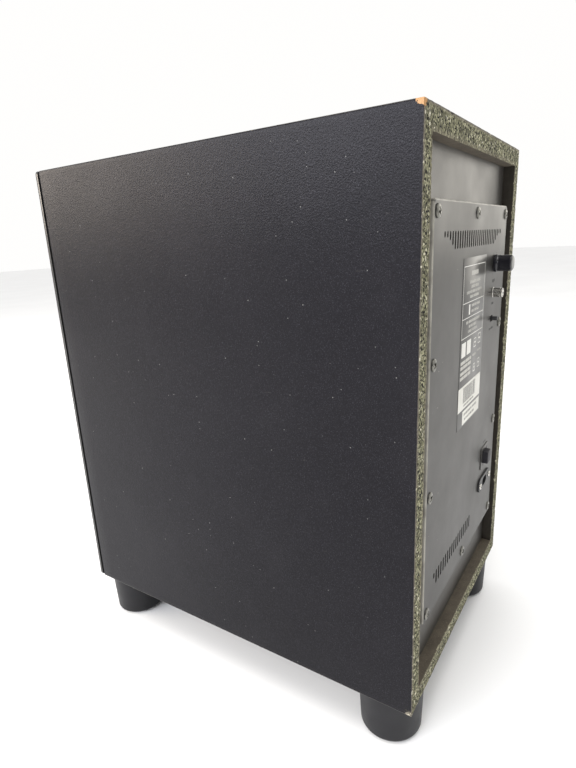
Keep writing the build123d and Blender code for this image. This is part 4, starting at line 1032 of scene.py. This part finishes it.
def label():
    """Rating label: glossy film, thin printed frame and generic marks, with two paper stickers."""
    dice = random.Random(11)
    wide, tall = (LABEL_HIGH.x - LABEL_LOW.x) / MM, (LABEL_HIGH.z - LABEL_LOW.z) / MM
    film_top = FACE + 0.2 * MM
    rounded_box("label_film_piece", (LABEL_LOW.x, FACE, LABEL_LOW.z), (LABEL_HIGH.x, film_top, LABEL_HIGH.z),
                0.08 * MM, CABINET, "label_film", ["plate_labels"], segments=2)
    line, left, right = 0.55, 2.2, wide - 3.0
    rules = [6.0, 33.7, 45.7, 60.8]
    marks = [(left, right, v, v + line) for v in rules]
    marks += [(left, left + line, rules[0], rules[-1]), (right - line, right, rules[0], rules[-1])]
    text = text_row(24, 44, 10.4, 3.4, dice, (2.0, 3.2), 0.6)
    for v, start, end in ((17.6, 20, 50), (21.4, 24, 46), (25.2, 12, 57), (29.0, 22, 48)):
        text += letter_row(start, end, v, 2.2, dice)
    marks.append((20, 23.5, 36.0, 44.0))
    text += letter_row(27, 54, 36.4, 2.2, dice) + letter_row(27, 50, 40.8, 2.2, dice)
    for v, start, end in ((48.6, 14, 54), (52.4, 22, 44), (56.2, 20, 47)):
        text += letter_row(start, end, v, 2.2, dice)
    marks += [(4, 15.5, 64.5, 76.0), (19, 30.5, 64.5, 76.0)]
    for v in (79.0, 83.0, 87.6, 91.6):
        text += text_row(3, 33, v, 2.7, dice, (6, 13), 0.8)
    for u, v, side in ((40, 66, 7), (53, 64, 8), (41, 88, 6), (54, 86, 7)):
        marks += [(u, u + side, v, v + 0.7), (u, u + 0.7, v, v + side), (u + side - 0.7, u + side, v, v + side),
                  (u + 1.8, u + side - 1.8, v + side * 0.45, v + side * 0.6), (u, u + side, v + side, v + side + 0.7)]
    text += letter_row(38, 48, 79, 1.8, dice) + letter_row(52, 63, 77.5, 1.8, dice)
    for name, ink, group in (("label_print", "ink_white", marks), ("label_text", "ink_pale", text)):
        points, faces = boxes([bar(*mark, film_top, 0.03 * MM) for mark in group])
        piece(name, points, faces, CABINET, "label_film", materials=(ink,))
    paper_top = film_top + 0.1 * MM
    papers = [(0.2, 66.6, 100.5, 120.5), (14.3, 66.2, 122.7, 134.3)]
    points, faces = boxes([bar(*paper, film_top, 0.1 * MM) for paper in papers])
    piece("paper_labels", points, faces, CABINET, "label_film", materials=("sticker_paper",))
    stripes, u = [], 14.0
    while u < 50:
        stripe = dice.choice((0.4, 0.4, 0.8, 1.2))
        stripes.append((u, u + stripe, 102.5, 115.5))
        u += stripe + dice.choice((0.4, 0.4, 0.8))
    stripes += letter_row(16, 48, 116.8, 1.9, dice) + letter_row(18, 58, 125.0, 2.2, dice)
    stripes += letter_row(20, 50, 129.4, 2.2, dice)
    points, faces = boxes([bar(*stripe, paper_top, 0.02 * MM) for stripe in stripes])
    piece("paper_print", points, faces, CABINET, "label_film", materials=("ink_grey",))
    print("label", round(wide, 1), "x", round(tall, 1), "mm")


def legends():
    """Dark printed marks by the controls: dial ticks, and generic words under each control."""
    dice = random.Random(5)
    rise, ink = FACE, 0.03 * MM
    marks = []

    def word(x, z, width, height):
        """Short upright marks centred on x."""
        for u0, u1, v0, v1 in letter_row(0, width, 0, height, dice):
            marks.append(((x + (width / 2 - u1) * MM, rise, z - v1 * MM), (x + (width / 2 - u0) * MM, rise + ink,
                          z - v0 * MM)))

    word(KNOB.x, KNOB.z - 13.5 * MM, 9, 2.2)
    word(JACK.x, JACK.z - 8.5 * MM, 8, 2.2)
    word(JACK.x, JACK.z + 10.5 * MM, 7, 1.6)
    switch_x = BEZEL.x + 1 * MM
    word(switch_x, LEVER.z - 8.0 * MM, 14, 2.0)
    word(switch_x + 8 * MM, LEVER.z + 1 * MM, 4, 1.8)
    word(BEZEL.x, BEZEL.z + 16.0 * MM, 9, 2.0)
    for i in range(11):
        angle = math.radians(-60 + 300 * i / 10)
        x = KNOB.x + 10.2 * MM * math.cos(angle)
        z = KNOB.z + 10.2 * MM * math.sin(angle)
        marks.append(((x - 0.45 * MM, rise, z - 0.45 * MM), (x + 0.45 * MM, rise + ink, z + 0.45 * MM)))
    points, faces = boxes(marks)
    piece("plate_legends", points, faces, CABINET, "painted_steel", materials=("ink_dark",))


# ---------------------------------------------------------------- grille, port and woofer

def grille_cloth():
    """Knit stretched over the front of the grille frame, its edge rolled over the frame's front corner."""
    low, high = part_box("grille_frame")
    thick, soft = 0.4 * MM, 1.0 * MM
    proud = 0.15 * MM
    half, z0, z1 = high.x + proud, low.z - proud, high.z + proud
    front = GRILLE_LOW.y
    steps = (60, 96)
    rings = [rounded_ring(half, z0, z1, 3.0 * MM, front + soft + 0.2 * MM, steps)]
    for across, along in arc((0, 0), soft, 0, 90, 5):
        inset = soft - across
        rings.append(rounded_ring(half - inset, z0 + inset, z1 - inset, 3.0 * MM - inset, front + soft - along, steps))
    for inset in (8, 20, 45, 80, 110):
        inset *= MM
        rings.append(rounded_ring(half - inset, z0 + inset, z1 - inset, 2.0 * MM, front, steps))
    points, faces = loft(rings, close=False)
    count = len(rings[0])
    faces.append(tuple(range(len(points) - 1, len(points) - 1 - count, -1)))
    cloth = piece("grille_knit", points, faces, None, "grille_fabric", ["grille_cloth"], smooth=50)
    shell = cloth.modifiers.new("thickness", "SOLIDIFY")
    shell.thickness, shell.offset = thick, -1.0
    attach(cloth, "grille")


def port():
    """Flared port tube."""
    low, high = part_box("port_tube")
    bore, wall, lip, flare = 35 * MM, 2.5 * MM, 45 * MM, 8 * MM
    y0, y1 = low.y, high.y
    profile = [(bore + wall, y1 - 0.6 * MM), (bore + wall - 0.6 * MM, y1), (bore + 0.6 * MM, y1),
               (bore, y1 - 0.6 * MM), (bore, y0 + flare)]
    profile += arc((bore + flare, y0 + flare), flare, 180, 270, 12)[1:]
    profile += [(lip - 0.8 * MM, y0), (lip - 0.2 * MM, y0 + 0.3 * MM), (lip, y0 + 0.9 * MM), (lip, y0 + 2.8 * MM),
                (bore + wall, y0 + 2.8 * MM)]
    points, faces = turned(profile, PORT, steps=128)
    piece("port_tube_flared", points, faces, CABINET, "black_plastic", ["port_tube"], smooth=35)


def woofer():
    """Cone, dust cap, roll surround and gasket; depths are behind the baffle's front face."""
    def at(profile):
        return [(r * MM, BAFFLE_FRONT + s * MM) for r, s in profile]

    front = [(25.0, 36.0)]
    bowed = [(25 + 51 * t, 36 - 33.3 * (0.62 * t + 0.38 * (1 - (1 - t) ** 2))) for t in
             [i / 14 for i in range(1, 14)]]
    rim = [(76.0, 2.7)]
    outside = front + bowed + rim
    inside = [(r, s + 0.9) for r, s in reversed(outside)]
    points, faces = turned(at(outside + inside), WOOFER, steps=144)
    piece("cone_paper_piece", points, faces, "cone", "paper_cone", ["woofer_cone"], smooth=40)
    rim_radius, rise, base, thick = 33.0, 9.0, 28.5, 0.6
    ball = (rim_radius ** 2 + rise ** 2) / (2 * rise)
    dome = [(rim_radius * i / 16, base - rise + ball - math.sqrt(ball ** 2 - (rim_radius * i / 16) ** 2))
            for i in range(17)]
    skirt = [(rim_radius + 1.6, base - 0.35), (rim_radius + 1.6, base - 0.15), (rim_radius - 0.3, base + thick)]
    under = [(r, s + thick) for r, s in reversed(dome[:-1])]
    points, faces = turned(at(dome + skirt + under), WOOFER, steps=112)
    piece("dust_cap_domed", points, faces, "cone", "paper_cone", ["dust_cap"],
          materials=("gloss_black_plastic",), smooth=40)
    surround()
    spider()
    tinsel_leads()
    ring = [(93.0, 0.25), (93.3, 0.0), (104.6, 0.0), (105.0, 0.4), (105.0, 2.5), (96.2, 2.5), (96.2, 1.7), (93.0, 1.7)]
    points, faces = turned(at(ring), WOOFER, steps=144)
    piece("gasket_ring", points, faces, CABINET, "black_rubber", ["woofer_gasket"], smooth=35)


def bending_ring(name, profile, slot, node):
    """A soft ring round the woofer's axis, in sectors between the basket and the cone."""
    sectors, steps = 24, 6
    count = len(profile)
    for k in range(sectors):
        rings = []
        for i in range(steps + 1):
            angle = 2 * math.pi * (k + i / steps) / sectors
            rings.append([(WOOFER.x + r * MM * math.cos(angle), BAFFLE_FRONT + s * MM,
                           WOOFER.z + r * MM * math.sin(angle)) for r, s in profile])
        points, faces = loft(rings, close=False)
        faces.append(tuple(range(count)))
        faces.append(tuple(range(len(points) - 1, len(points) - 1 - count, -1)))
        part = piece(f"{name}_{k:02d}", points, faces, None, slot, [node], smooth=50)
        angle = 2 * math.pi * (k + 0.5) / sectors
        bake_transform(part)


def surround():
    """Half-roll rubber surround between the flange and the cone's edge."""
    inner, roll_in, roll_out, outer, seat, rise, thick = 74.0, 76.0, 92.0, 96.0, 1.7, 7.0, 0.8
    middle, half = (roll_in + roll_out) / 2, (roll_out - roll_in) / 2
    top = [(inner, seat), (roll_in, seat)]
    top += [(middle - half * math.cos(math.pi * i / 14), seat - rise * math.sin(math.pi * i / 14))
            for i in range(1, 14)]
    top += [(roll_out, seat), (outer, seat)]
    below = [(r, s + thick) for r, s in reversed(top)]
    bending_ring("surround", top + below, "black_rubber", "surround")


def spider():
    """Corrugated centring disc between the basket's shelf and the former."""
    first, last, waves, rise, thick, seat = 25.2, 58.0, 5, 1.6, 0.5, 44.6
    steps = 10 * waves
    front = [(first + (last - first) * i / steps,
              seat - thick + rise * (1 - math.cos(2 * math.pi * waves * i / steps)) / 2) for i in range(steps + 1)]
    back = [(r, s + thick) for r, s in reversed(front)]
    bending_ring("spider", front + back, "spider_cloth", "spider")


def tinsel_leads():
    """Two braided leads that bend between the terminal strip and the back of the cone."""
    radius, sides, strands, pitch = 0.7 * MM, 24, 4, 2.6 * MM
    turns = [(49.0, -70.0), (44.5, -79.0), (35.0, -79.0), (27.0, -63.0), (22.0, -47.0)]
    turns = [Vector((0, BAFFLE_FRONT + y * MM, WOOFER.z + z * MM)) for y, z in turns]
    middles = [turns[0]] + [(a + b) / 2 for a, b in zip(turns[1:-2], turns[2:-1])] + [turns[-1]]
    path = []
    for start, corner, end in zip(middles, turns[1:-1], middles[1:]):
        path += [start.lerp(corner, i / 16).lerp(corner.lerp(end, i / 16), i / 16) for i in range(16)]
    path.append(turns[-1])
    for side, x in (("left", -7.0 * MM), ("right", 7.0 * MM)):
        rings, run = [], 0.0
        for i, point in enumerate(path):
            ahead, behind = path[min(i + 1, len(path) - 1)], path[max(i - 1, 0)]
            along = (ahead - behind).normalized()
            across = along.cross(Vector((1, 0, 0)))
            run += (point - behind).length
            ring = []
            for j in range(sides):
                angle = 2 * math.pi * j / sides
                reach = radius * (0.92 + 0.08 * math.cos(strands * angle + 2 * math.pi * run / pitch))
                offset = Vector((1, 0, 0)) * math.cos(angle) + across * math.sin(angle)
                ring.append(tuple(point + Vector((x, 0, 0)) + offset * reach))
            rings.append(ring)
        points, faces = loft(rings, close=False)
        faces.append(tuple(range(sides)))
        faces.append(tuple(range(len(points) - 1, len(points) - 1 - sides, -1)))
        lead = piece(f"tinsel_lead_{side}", points, faces, None, "copper_wire", ["tinsel_leads"], smooth=60)
        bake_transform(lead)


def paint_cad_nodes():
    """Every CAD node that stays on show takes its slot's procedural material."""
    own = {"grille_frame": "grille_plastic", "transformer_bracket": "laminations"}
    for name, made in NODES.items():
        material = MATERIALS[own.get(name, SLOTS[name])]
        slots = made.data.materials
        for index in range(max(1, len(slots))):
            if index < len(slots):
                slots[index] = material
            else:
                slots.append(material)


place_camera()
place_lights()
place_floor()
MATERIALS.update(all_materials())
paint_cad_nodes()
vinyl_skin()
for board_side in ("top", "bottom", "left", "right"):
    board(board_side)
foot_pieces()
wadding()
screws()
knob()
jack()
small_controls()
label()
legends()
grille_cloth()
port()
woofer()
